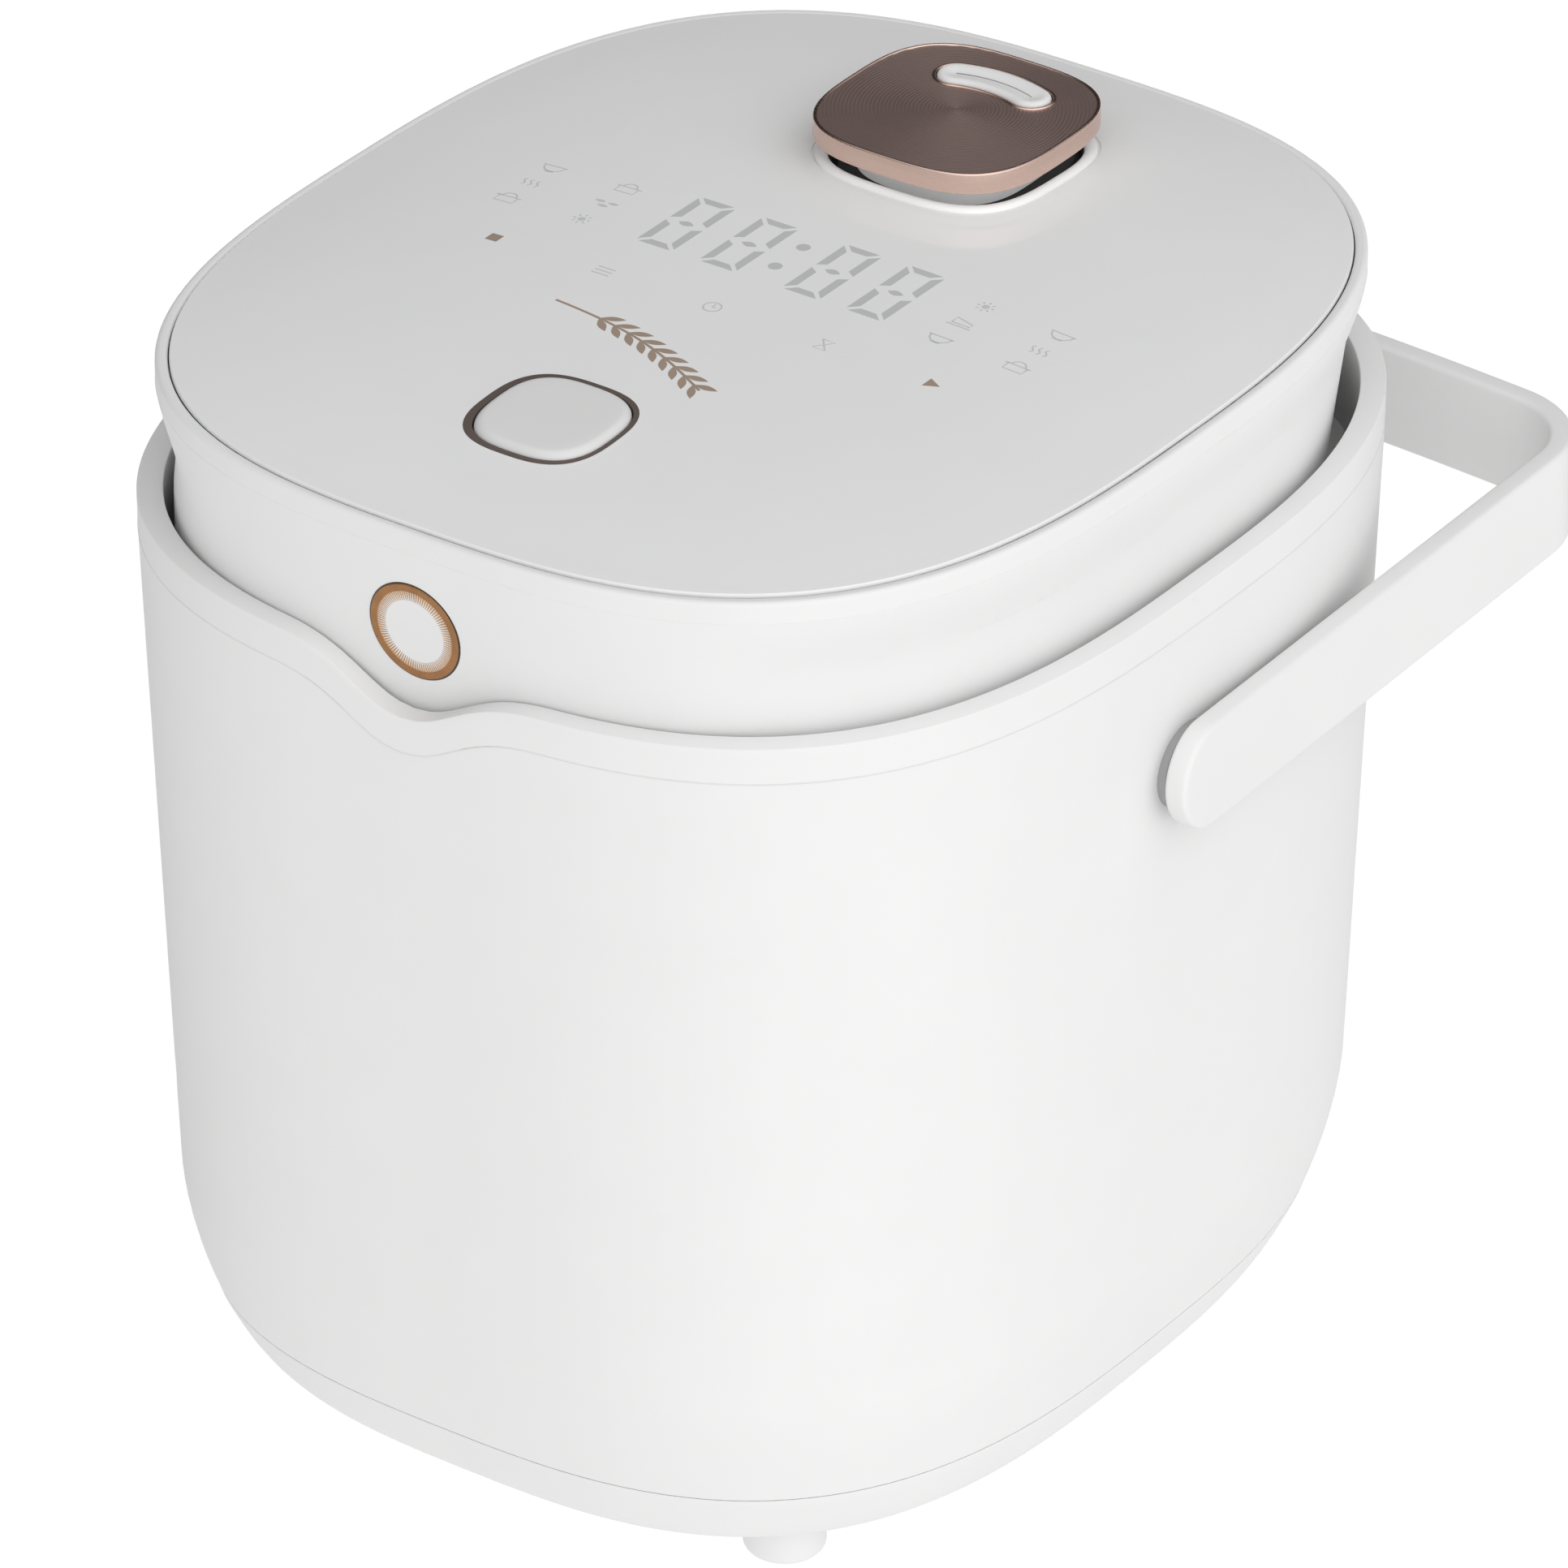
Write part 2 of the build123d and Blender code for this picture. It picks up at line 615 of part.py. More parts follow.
# Hotplate, its tubular element in a groove and its posts on the bucket floor
sensor_bore = SENSOR_RADIUS + SENSOR_SIDE_GAP
element_z = HOTPLATE_Z
hotplate = rod_z(0, 0, (HOTPLATE_Z, POT_BOTTOM_Z), HOTPLATE_RADIUS)
hotplate = fillet(hotplate.edges().group_by(Axis.Z)[-1], POT_WALL)
hotplate = hotplate - rod_z(0, 0, (HOTPLATE_Z - 1, POT_BOTTOM_Z + 1), sensor_bore)
groove = Pos(0, 0, element_z) * Torus(ELEMENT_CIRCLE, ELEMENT_RADIUS + FIT)
nodes["heater_plate"] = hotplate - groove
tube_start = Plane.XZ * Pos(ELEMENT_CIRCLE, element_z) * Circle(ELEMENT_RADIUS)
element = revolve(tube_start, Axis.Z, revolution_arc=ELEMENT_SWEEP)
for angle in (0.0, ELEMENT_SWEEP):
    end = Rot(0, 0, angle) * Pos(ELEMENT_CIRCLE, 0, element_z - ELEMENT_PIN_LENGTH / 2)
    element = element + end * Cylinder(ELEMENT_PIN_RADIUS, ELEMENT_PIN_LENGTH)
nodes["heating_element"] = element
posts = []
for step in range(POST_COUNT):
    turn = Rot(0, 0, 360 / POST_COUNT * step + 90)
    posts.append(turn * rod_z(POST_CIRCLE, 0, (BUCKET_FLOOR_Z, HOTPLATE_Z), POST_RADIUS))
nodes["heater_posts"] = posts

# Temperature sensor: sleeve under the hotplate, sprung cap and its spring
sleeve_floor_z = HOTPLATE_Z - SLEEVE_HEIGHT
sleeve = rod_z(0, 0, (sleeve_floor_z, HOTPLATE_Z), sensor_bore + SLEEVE_WALL)
sleeve = sleeve - rod_z(0, 0, (sleeve_floor_z + SLEEVE_FLOOR, HOTPLATE_Z + 1), sensor_bore)
nodes["sensor_sleeve"] = sleeve - rod_z(0, 0, (0, HOTPLATE_Z), STEM_RADIUS + RUN_FIT)
cap_top = POT_BOTTOM_Z - SENSOR_POT_GAP
cap_low = cap_top - SENSOR_CAP_HEIGHT
stem_low = sleeve_floor_z - STEM_BELOW
sensor_cap = rod_z(0, 0, (cap_low, cap_top), SENSOR_RADIUS)
sensor_cap = fillet(sensor_cap.edges().group_by(Axis.Z)[-1], POT_WALL)
sensor_cap = sensor_cap + rod_z(0, 0, (stem_low, cap_low), STEM_RADIUS)
clip_z = sleeve_floor_z - SENSOR_TRAVEL
sensor_cap = sensor_cap + rod_z(0, 0, (clip_z - STEM_CLIP_THICK, clip_z), STEM_CLIP_RADIUS)
nodes["sensor_cap"] = sensor_cap
spring_low = sleeve_floor_z + SLEEVE_FLOOR
sensor_coil = coil(SENSOR_COIL_RADIUS, SENSOR_COIL_WIRE, cap_low - spring_low, SENSOR_COIL_TURNS)
nodes["sensor_spring"] = Pos(0, 0, spring_low) * sensor_coil

# Power board on the standoffs with what is soldered to it
board_top = board_z + BOARD_THICK
half_width = BOARD_WIDTH / 2
half_depth = BOARD_DEPTH / 2
nodes["power_board"] = block(
    (-half_width, half_width), (BOARD_Y - half_depth, BOARD_Y + half_depth), (board_z, board_top)
)


def on_board(size, x):
    """Box standing on the power board."""
    width, depth, height = size
    return Pos(x, BOARD_Y, board_top + height / 2) * Box(width, depth, height)


transformer = on_board(TRANSFORMER_SIZE, TRANSFORMER_X)
nodes["transformer"] = chamfer(transformer.edges().filter_by(Axis.Z), WALL)
relay = on_board(RELAY_SIZE, RELAY_X)
nodes["relay"] = fillet(relay.edges().group_by(Axis.Z)[-1], RELAY_ROUND)
terminal_block = on_board(TERMINAL_SIZE, TERMINAL_X)
for step in range(TERMINAL_COUNT):
    y = BOARD_Y + TERMINAL_PITCH * (step - (TERMINAL_COUNT - 1) / 2)
    depth = TERMINAL_SIZE[2] / 2
    top = board_top + TERMINAL_SIZE[2]
    terminal_block = terminal_block - rod_z(TERMINAL_X, y, (top - depth, top + 1), TERMINAL_BORE_RADIUS)
nodes["terminal_block"] = terminal_block

# Thermal fuse clipped under the hotplate
fuse_z = HOTPLATE_Z - FUSE_CLIP_THICK - FUSE_RADIUS
fuse = rod_y(FUSE_X, (-FUSE_LENGTH / 2, FUSE_LENGTH / 2), fuse_z, FUSE_RADIUS)
clip_half = FUSE_RADIUS + FUSE_CLIP_THICK
fuse_clip = block(
    (FUSE_X - clip_half, FUSE_X + clip_half), (-FUSE_RADIUS, FUSE_RADIUS), (fuse_z - clip_half, HOTPLATE_Z)
)
nodes["thermal_fuse"] = fuse + fuse_clip

# Mains inlet in the back wall and its two pins
inlet_front = inlet_back - INLET_DEPTH
inlet = block(
    (-inlet_half, inlet_half),
    (inlet_front, inlet_back + INLET_PROUD),
    (INLET_Z - inlet_rise, INLET_Z + inlet_rise),
)
inlet_flange = block(
    (-inlet_half - INLET_FLANGE, inlet_half + INLET_FLANGE),
    (inlet_back - WALL - FIT - INLET_FLANGE_THICK, inlet_back - WALL - FIT),
    (INLET_Z - inlet_rise - INLET_FLANGE, INLET_Z + inlet_rise + INLET_FLANGE),
)
inlet_room = block(
    (-INLET_WIDTH / 2, INLET_WIDTH / 2),
    (inlet_front + INLET_WALL, inlet_back + INLET_DEPTH),
    (INLET_Z - INLET_HEIGHT / 2, INLET_Z + INLET_HEIGHT / 2),
)
inlet = inlet + (inlet_flange & body_straight(EDGE_TOP_Z, WALL + FIT)) - inlet_room
pins = []
for x in (-INLET_PIN_PITCH / 2, INLET_PIN_PITCH / 2):
    pin_range = (inlet_front - INLET_TAIL, inlet_front + INLET_WALL + INLET_PIN_LENGTH)
    inlet = inlet - rod_y(x, (inlet_front - 1, inlet_back), INLET_Z, INLET_PIN_RADIUS + PIN_FIT)
    pin = rod_y(x, pin_range, INLET_Z, INLET_PIN_RADIUS)
    pins.append(fillet(pin.edges().group_by(Axis.Y)[-1], INLET_PIN_RADIUS / 2))
nodes["power_inlet"] = inlet
nodes["inlet_pins"] = pins

# Lid shell: flared side wall, lip, panel ledge, screw bosses and hinge arms
lid_wall = lid_side(0.0) - lid_side(LIP_WIDTH)
lip = lip_prism(0.0, FLARE_TOP_Z, LIP_Z) - lip_prism(LIP_WIDTH, FLARE_TOP_Z - 1, LIP_Z + 1)
lip = fillet(lip.edges().group_by(Axis.Z)[-1], LIP_ROUND)
ledge_top = LIP_Z - PANEL_THICK
ledge = lip_prism(LIP_WIDTH / 2, ledge_top - LEDGE_THICK, ledge_top)
ledge = ledge - lip_prism(LIP_WIDTH + LEDGE_WIDTH, ledge_top - REACH, LIP_Z)
lid_shell = lid_wall + lip + ledge

lid_boss_places = [(x, y) for x in (-LID_BOSS_X, LID_BOSS_X) for y in (-LID_BOSS_Y, LID_BOSS_Y)]
lid_boss_top = LID_BASE_TOP_Z + LID_BOSS_HEIGHT
lid_middle = lid_side(LIP_WIDTH / 2)
for x, y in lid_boss_places:
    boss = rod_z(x, y, (LID_BASE_TOP_Z, lid_boss_top), LID_BOSS_RADIUS) & lid_middle
    pilot = rod_z(x, y, (LID_BASE_Z, LID_BASE_TOP_Z + LID_SCREW_REACH + 1), SCREW_RADIUS + SCREW_FIT)
    lid_shell = lid_shell + boss - pilot

hinge_y = RIM_DEPTH / 2 + HINGE_BEHIND
hinge_z = RIM_Z + HINGE_ABOVE
arm_low = RIM_Z + ARM_RIM_GAP
arm_x = HINGE_MIDDLE_HALF + HINGE_GAP + HINGE_ARM_WIDTH / 2
arm_front = LID_DEPTH / 2 - lid_inset(LIP_Z - hinge_z) - LIP_WIDTH / 2
for side in (-1, 1):
    arm_range = (side * arm_x - HINGE_ARM_WIDTH / 2, side * arm_x + HINGE_ARM_WIDTH / 2)
    arm = block(arm_range, (arm_front, hinge_y), (arm_low, arm_low + ARM_THICK))
    arm = arm + rod_x(arm_range, hinge_y, hinge_z, KNUCKLE_RADIUS)
    lid_shell = lid_shell + arm - rod_x(arm_range, hinge_y, hinge_z, HINGE_PIN_RADIUS + RUN_FIT)

emblem_z = LIP_Z - EMBLEM_DEPTH
emblem_y = -(LID_DEPTH / 2 - lid_inset(EMBLEM_DEPTH))
emblem_lean = lid_inset(EMBLEM_DEPTH + EMBLEM_RADIUS) - lid_inset(EMBLEM_DEPTH - EMBLEM_RADIUS)
emblem_slope = emblem_lean / (2 * EMBLEM_RADIUS)
emblem_frame = Pos(0, emblem_y, emblem_z) * Rot(90 + math.degrees(math.atan(emblem_slope)), 0, 0)
emblem_sink = EMBLEM_THICK - EMBLEM_PROUD
emblem_pocket = emblem_frame * Pos(0, 0, -emblem_sink / 2 + EMBLEM_THICK / 2)
emblem_pocket = emblem_pocket * Cylinder(EMBLEM_RADIUS + EMBLEM_FIT, emblem_sink + EMBLEM_THICK)
nodes["lid_shell"] = lid_shell - emblem_pocket

# Emblem: bronze ring round a plain disc, set into the front of the lid
emblem_body = emblem_frame * Pos(0, 0, -emblem_sink + EMBLEM_THICK / 2)
disc_radius = EMBLEM_RADIUS - EMBLEM_RING_WIDTH
emblem_ring = Cylinder(EMBLEM_RADIUS, EMBLEM_THICK) - Cylinder(disc_radius + EMBLEM_FIT, EMBLEM_THICK)
nodes["emblem_ring"] = emblem_body * emblem_ring
nodes["emblem_disc"] = emblem_body * Cylinder(disc_radius, EMBLEM_THICK)

# Top panel, crowned, with holes for the bezel and the vent socket
panel_inset = LIP_WIDTH + PANEL_GAP
panel_high = LIP_Z + 2 * LID_CROWN
panel_slab = lip_prism(panel_inset, LIP_Z - PANEL_THICK, panel_high) & above_crown(-PANEL_THICK)
panel_slab = panel_slab - above_crown(0.0)
bezel_half = BUTTON_HALF + BUTTON_GAP + BEZEL_WIDTH
panel_slab = panel_slab - squircle(bezel_half + BEZEL_FIT, BUTTON_POWER, LID_BASE_Z, panel_high, BUTTON_Y)
nodes["top_panel"] = panel_slab - squircle(VENT_HALF + FIT, VENT_POWER, LID_BASE_Z, panel_high, VENT_Y)

# Button bezel and the sprung button with its stem
button_level = crown_height(0, BUTTON_Y)
bezel = squircle(bezel_half, BUTTON_POWER, button_level - BEZEL_HEIGHT, panel_high, BUTTON_Y)
bezel = bezel - squircle(BUTTON_HALF + BUTTON_GAP, BUTTON_POWER, LID_BASE_Z, panel_high, BUTTON_Y)
nodes["button_bezel"] = bezel - above_crown(BEZEL_PROUD)
button_low = button_level + BUTTON_PROUD - BUTTON_HEIGHT
button = squircle(BUTTON_HALF, BUTTON_POWER, button_low, panel_high, BUTTON_Y) - above_crown(BUTTON_PROUD)
button_rim = [edge for edge in button.edges() if edge.bounding_box().min.Z > button_level]
button = fillet(button_rim, BUTTON_ROUND)
bridge_top = button_low - SPRING_ROOM
bridge_low = bridge_top - BRIDGE_THICK
stem_end = bridge_low - BUTTON_TRAVEL / 2
nodes["open_button"] = button + rod_z(0, BUTTON_Y, (stem_end, button_low), BUTTON_STEM_RADIUS)
button_coil = coil(BUTTON_COIL_RADIUS, BUTTON_COIL_WIRE, SPRING_ROOM, BUTTON_COIL_TURNS)
nodes["button_spring"] = Pos(0, BUTTON_Y, bridge_top) * button_coil

# Latch lever under the stem, with a hook that reaches down to the catch
lever_top = stem_end - LATCH_STEM_GAP
lever_low = lever_top - LATCH_ARM_THICK
lever_back = BUTTON_Y + BUTTON_STEM_RADIUS
lever_range = (-LATCH_HALF, LATCH_HALF)
hook_low = LATCH_PIVOT_Z - LATCH_HOOK_BELOW
hook_range = (LATCH_PIVOT_Y - LATCH_HOOK_THICK / 2, LATCH_PIVOT_Y + LATCH_HOOK_THICK / 2)
nose_tip = hook_range[1] + LATCH_NOSE
lever = block(lever_range, (LATCH_PIVOT_Y, lever_back), (lever_low, lever_top))
lever = lever + block(lever_range, hook_range, (hook_low, lever_top))
lever = lever + block(lever_range, (hook_range[0], nose_tip), (hook_low, hook_low + LATCH_NOSE_HEIGHT))
lever = lever + rod_x(lever_range, LATCH_PIVOT_Y, LATCH_PIVOT_Z, LATCH_HUB_RADIUS)
nodes["latch_lever"] = lever - rod_x(lever_range, LATCH_PIVOT_Y, LATCH_PIVOT_Z, LATCH_PIN_RADIUS + RUN_FIT)
lug_outer = LATCH_HALF + LATCH_LUG_GAP + LATCH_LUG
nodes["latch_pin"] = rod_x((-lug_outer, lug_outer), LATCH_PIVOT_Y, LATCH_PIVOT_Z, LATCH_PIN_RADIUS)
latch_coil = coil(LATCH_COIL_RADIUS, LATCH_COIL_WIRE, lever_low - LID_BASE_TOP_Z, LATCH_COIL_TURNS)
nodes["latch_spring"] = Pos(0, LATCH_COIL_Y, LID_BASE_TOP_Z) * latch_coil

# Catch on the deck, just behind the hook's nose
catch_front = nose_tip + CATCH_GAP
catch_y = (catch_front, catch_front + CATCH_DEPTH)
catch = block((-CATCH_HALF, CATCH_HALF), catch_y, (DECK_Z, DECK_Z + CATCH_HEIGHT))
notch = block(
    (-CATCH_HALF, CATCH_HALF),
    (catch_front, catch_front + CATCH_NOTCH),
    (DECK_Z + CATCH_NOTCH / 2, DECK_Z + CATCH_HEIGHT - CATCH_LEDGE),
)
nodes["latch_catch"] = catch - notch

# Lid base: underside of the lid with the button bridge, latch lugs, peg and board posts
base_inset = lid_inset(LIP_Z - LID_BASE_Z) + LIP_WIDTH + FIT
lid_base = lip_prism(base_inset, LID_BASE_Z, LID_BASE_TOP_Z)
bridge_y = (BUTTON_Y - BRIDGE_LENGTH / 2, BUTTON_Y + BRIDGE_LENGTH / 2)
bridge = block((-BRIDGE_HALF, BRIDGE_HALF), bridge_y, (LID_BASE_Z, bridge_top))
bridge_inner = BRIDGE_HALF - BRIDGE_LEG
bridge = bridge - block((-bridge_inner, bridge_inner), bridge_y, (LID_BASE_Z, bridge_low))
bridge = bridge - rod_z(0, BUTTON_Y, (bridge_low, bridge_top), BUTTON_STEM_RADIUS + RUN_FIT)
lid_base = lid_base + bridge
lug_inner = LATCH_HALF + LATCH_LUG_GAP
for side in (-1, 1):
    lug_range = sorted((side * lug_inner, side * lug_outer))
    lug_y = (LATCH_PIVOT_Y - LATCH_HUB_RADIUS, LATCH_PIVOT_Y + LATCH_HUB_RADIUS)
    lid_base = lid_base + block(lug_range, lug_y, (LID_BASE_Z, LATCH_PIVOT_Z))
    lid_base = lid_base + rod_x(lug_range, LATCH_PIVOT_Y, LATCH_PIVOT_Z, LATCH_HUB_RADIUS)
lid_base = lid_base - rod_x((-lug_outer, lug_outer), LATCH_PIVOT_Y, LATCH_PIVOT_Z, LATCH_PIN_RADIUS + PIN_FIT)
lid_base = lid_base - block(
    (-lug_inner, lug_inner),
    (LATCH_PIVOT_Y - LATCH_SLOT_FRONT, LATCH_PIVOT_Y + LATCH_SLOT_BACK),
    (LID_BASE_Z - 1, LID_BASE_TOP_Z),
)
display_top = crown_height(0, DISPLAY_BOARD_Y) - PANEL_THICK - DISPLAY_BOARD_DROP
display_low = display_top - BOARD_THICK
display_x = DISPLAY_BOARD_WIDTH / 2
display_y = DISPLAY_BOARD_DEPTH / 2
for x in (-display_x + STANDOFF_INSET, display_x - STANDOFF_INSET):
    for y in (-display_y + STANDOFF_INSET, display_y - STANDOFF_INSET):
        lid_base = lid_base + rod_z(x, DISPLAY_BOARD_Y + y, (LID_BASE_Z, display_low), STANDOFF_RADIUS)
inner_lid_top = LID_BASE_Z - INNER_LID_DROP
inner_lid_low = inner_lid_top - INNER_LID_THICK
grommet_low = inner_lid_low - GROMMET_LIP
lid_base = lid_base + rod_z(0, 0, (grommet_low, LID_BASE_TOP_Z), PEG_RADIUS)
vent_hole = rod_z(0, VENT_Y, (LID_BASE_Z - 1, LID_BASE_TOP_Z + 1), SOCKET_TUBE_RADIUS + VENT_SEAL_WALL + FIT)
lid_base = lid_base - vent_hole
lid_screws = []
for x, y in lid_boss_places:
    lid_base = lid_base - rod_z(x, y, (LID_BASE_Z, LID_BASE_Z + SCREW_HEAD_HEIGHT), SCREW_HEAD_RADIUS + FIT)
    lid_base = lid_base - rod_z(x, y, (LID_BASE_Z, LID_BASE_TOP_Z), SCREW_RADIUS + SCREW_FIT)
    screw = rod_z(x, y, (LID_BASE_Z, LID_BASE_Z + SCREW_HEAD_HEIGHT), SCREW_HEAD_RADIUS)
    shank = (LID_BASE_Z + SCREW_HEAD_HEIGHT, LID_BASE_TOP_Z + LID_SCREW_REACH)
    lid_screws.append(screw + rod_z(x, y, shank, SCREW_RADIUS))
nodes["lid_base"] = lid_base
nodes["lid_screws"] = lid_screws

# Steam plate, its sealing ring and the plug that holds it on the peg
inner_lid = rod_z(0, 0, (inner_lid_low, inner_lid_top), INNER_LID_RADIUS)
inner_lid = inner_lid - rod_z(0, 0, (inner_lid_low, inner_lid_top), GROMMET_NECK_RADIUS + PEG_FIT)
nodes["inner_lid"] = inner_lid - rod_z(0, VENT_Y, (inner_lid_low, inner_lid_top), SOCKET_TUBE_RADIUS)
gasket_low = POT_TOP_Z + GASKET_POT_GAP
gasket = rod_z(0, 0, (gasket_low, LID_BASE_Z), GASKET_OUTER_RADIUS)
gasket = gasket - rod_z(0, 0, (gasket_low, LID_BASE_Z), GASKET_INNER_RADIUS)
groove_range = (inner_lid_low - GASKET_GROOVE_FIT, inner_lid_top + GASKET_GROOVE_FIT)
nodes["lid_gasket"] = gasket - rod_z(0, 0, groove_range, INNER_LID_RADIUS + GASKET_GROOVE_FIT)
grommet_bore = PEG_RADIUS + PEG_FIT
nodes["inner_lid_grommet"] = turned([
    (grommet_bore, grommet_low),
    (GROMMET_RADIUS, grommet_low),
    (GROMMET_RADIUS, inner_lid_low),
    (GROMMET_NECK_RADIUS, inner_lid_low),
    (GROMMET_NECK_RADIUS, inner_lid_top),
    (GROMMET_RADIUS, inner_lid_top),
    (GROMMET_RADIUS, LID_BASE_Z),
    (grommet_bore, LID_BASE_Z),
])

# Vent socket: bead in the panel, cup and steam tube down to the lid base
vent_level = crown_height(0, VENT_Y)
cup_half = VENT_HALF - SOCKET_BEAD
cup_floor = vent_level - SOCKET_DEPTH
cup_low = cup_floor - SOCKET_WALL
socket_body = squircle(VENT_HALF, VENT_POWER, vent_level - 2 * PANEL_THICK, panel_high, VENT_Y)
socket_body = socket_body - above_crown(SOCKET_PROUD)
bead_edges = [edge for edge in socket_body.edges() if edge.bounding_box().min.Z > vent_level - PANEL_THICK]
socket_body = fillet(bead_edges, SOCKET_PROUD)
socket_body = socket_body + squircle(cup_half + SOCKET_WALL, VENT_POWER, cup_low, vent_level, VENT_Y)
seal_top = LID_BASE_TOP_Z + VENT_SEAL_HEIGHT - LID_BASE_THICK
tube_outer = SOCKET_TUBE_RADIUS + SOCKET_TUBE_WALL
socket_body = socket_body + rod_z(0, VENT_Y, (seal_top, cup_floor), tube_outer)
socket_body = socket_body - squircle(cup_half, VENT_POWER, cup_floor, panel_high, VENT_Y)
nodes["vent_socket"] = socket_body - rod_z(0, VENT_Y, (seal_top - 1, cup_floor + 1), SOCKET_TUBE_RADIUS)
seal_range = (inner_lid_top, seal_top)
vent_seal = rod_z(0, VENT_Y, seal_range, SOCKET_TUBE_RADIUS + VENT_SEAL_WALL)
nodes["vent_seal"] = vent_seal - rod_z(0, VENT_Y, seal_range, SOCKET_TUBE_RADIUS)

# Steam cap: bronze cover, white body with a hollow plug, curved slot insert and gasket
cap_top_z = LIP_Z + CAP_TOP_ABOVE_LIP
cap_band_z = cap_top_z - CAP_BAND
slot_start = 90 - SLOT_HALF_ANGLE
slot_line = CenterArc((0, VENT_Y + SLOT_CENTRE_Y), SLOT_RADIUS, slot_start, 2 * SLOT_HALF_ANGLE)


def slot_prism(width, z_low, z_high):
    """Upright prism of the curved steam slot."""
    return extrude(Pos(0, 0, z_low) * SlotArc(slot_line, width), z_high - z_low, dir=(0, 0, 1))


cover = squircle(VENT_HALF, VENT_POWER, cap_band_z, cap_top_z, VENT_Y)
cover = chamfer(cover.edges().group_by(Axis.Z)[-1], CAP_EDGE)
cover_roof = cap_top_z - CAP_WALL
cover = cover - squircle(VENT_HALF - CAP_WALL, VENT_POWER, cap_band_z, cover_roof, VENT_Y)
nodes["vent_cap_cover"] = cover - slot_prism(SLOT_WIDTH + 2 * SLOT_FIT, cover_roof - 1, cap_top_z + 1)
insert_top = cap_top_z + SLOT_PROUD
insert = slot_prism(SLOT_WIDTH, cover_roof, insert_top)
insert = fillet(insert.edges().group_by(Axis.Z)[-1], SLOT_PROUD / 2)
dish = slot_prism(SLOT_WIDTH - 2 * SLOT_RIM, insert_top - SLOT_DISH, insert_top + 1)
nodes["vent_slot_insert"] = insert - dish
plug_half = cup_half - PLUG_GAP
plug_low = vent_level - PLUG_REACH
cap_body = squircle(VENT_HALF - CAP_WALL - FIT, VENT_POWER, cap_band_z, cover_roof, VENT_Y)
cap_body = cap_body + squircle(plug_half, VENT_POWER, plug_low, cover_roof, VENT_Y)
cap_body = cap_body - squircle(plug_half - PLUG_WALL, VENT_POWER, plug_low, cap_band_z, VENT_Y)
gasket_z = plug_low + CAP_GASKET_LIFT
gasket_range = (gasket_z, gasket_z + CAP_GASKET_HEIGHT)
gasket_inner = plug_half - CAP_GASKET_WIDTH / 2
cap_groove = squircle(VENT_HALF, VENT_POWER, *gasket_range, VENT_Y)
cap_groove = cap_groove - squircle(gasket_inner, VENT_POWER, *gasket_range, VENT_Y)
nodes["vent_cap_body"] = cap_body - cap_groove
cap_gasket = squircle(plug_half + CAP_GASKET_WIDTH, VENT_POWER, *gasket_range, VENT_Y)
nodes["vent_cap_gasket"] = cap_gasket - squircle(gasket_inner + RUN_FIT, VENT_POWER, *gasket_range, VENT_Y)

# Display board, digit module and key springs under the panel
display_range = (DISPLAY_BOARD_Y - display_y, DISPLAY_BOARD_Y + display_y)
nodes["display_board"] = block((-display_x, display_x), display_range, (display_low, display_top))
panel_under = crown_height(DISPLAY_WIDTH / 2, DISPLAY_Y) - PANEL_THICK
nodes["digit_display"] = block(
    (-DISPLAY_WIDTH / 2, DISPLAY_WIDTH / 2),
    (DISPLAY_Y - DISPLAY_DEPTH / 2, DISPLAY_Y + DISPLAY_DEPTH / 2),
    (display_top, panel_under - DISPLAY_GAP),
)
keys = []
for x, y in KEY_PLACES:
    key_top = crown_height(abs(x) + KEY_COIL_RADIUS, abs(y) + KEY_COIL_RADIUS) - PANEL_THICK - KEY_GAP
    key_height = key_top - display_top
    keys.append(Pos(x, y, display_top) * coil(KEY_COIL_RADIUS, KEY_COIL_WIRE, key_height, KEY_COIL_TURNS))
nodes["touch_springs"] = keys

# Hinge bracket on the back of the body, its pin and the coil that lifts the lid
hinge_outer = HINGE_MIDDLE_HALF + 2 * HINGE_GAP + HINGE_ARM_WIDTH + HINGE_EAR
plate_back = RIM_DEPTH / 2 + HINGE_PLATE_THICK
knuckle_back = hinge_y + KNUCKLE_RADIUS
plate_low = RIM_Z - HINGE_PLATE_DROP
plate_top = hinge_z - KNUCKLE_RADIUS - ARM_RIM_GAP
plate_front = RIM_DEPTH / 2 - 2 * COLLAR_WALL
hinge_bracket = block((-hinge_outer, hinge_outer), (plate_front, plate_back), (plate_low, plate_top))
web_profile = [
    (0, RIM_DEPTH / 2, plate_top - KNUCKLE_RADIUS),
    (0, plate_back, plate_top - 3 * KNUCKLE_RADIUS),
    (0, knuckle_back, plate_top),
    (0, knuckle_back, hinge_z),
    (0, hinge_y - KNUCKLE_RADIUS, hinge_z),
    (0, hinge_y - KNUCKLE_RADIUS, plate_top - KNUCKLE_RADIUS),
]
web_face = make_face(Polyline(*web_profile, close=True))


def knuckle(x_range):
    """Bracket knuckle with the web that carries it."""
    low, high = x_range
    web = Pos(low, 0, 0) * extrude(web_face, high - low, dir=(1, 0, 0))
    return web + rod_x(x_range, hinge_y, hinge_z, KNUCKLE_RADIUS)


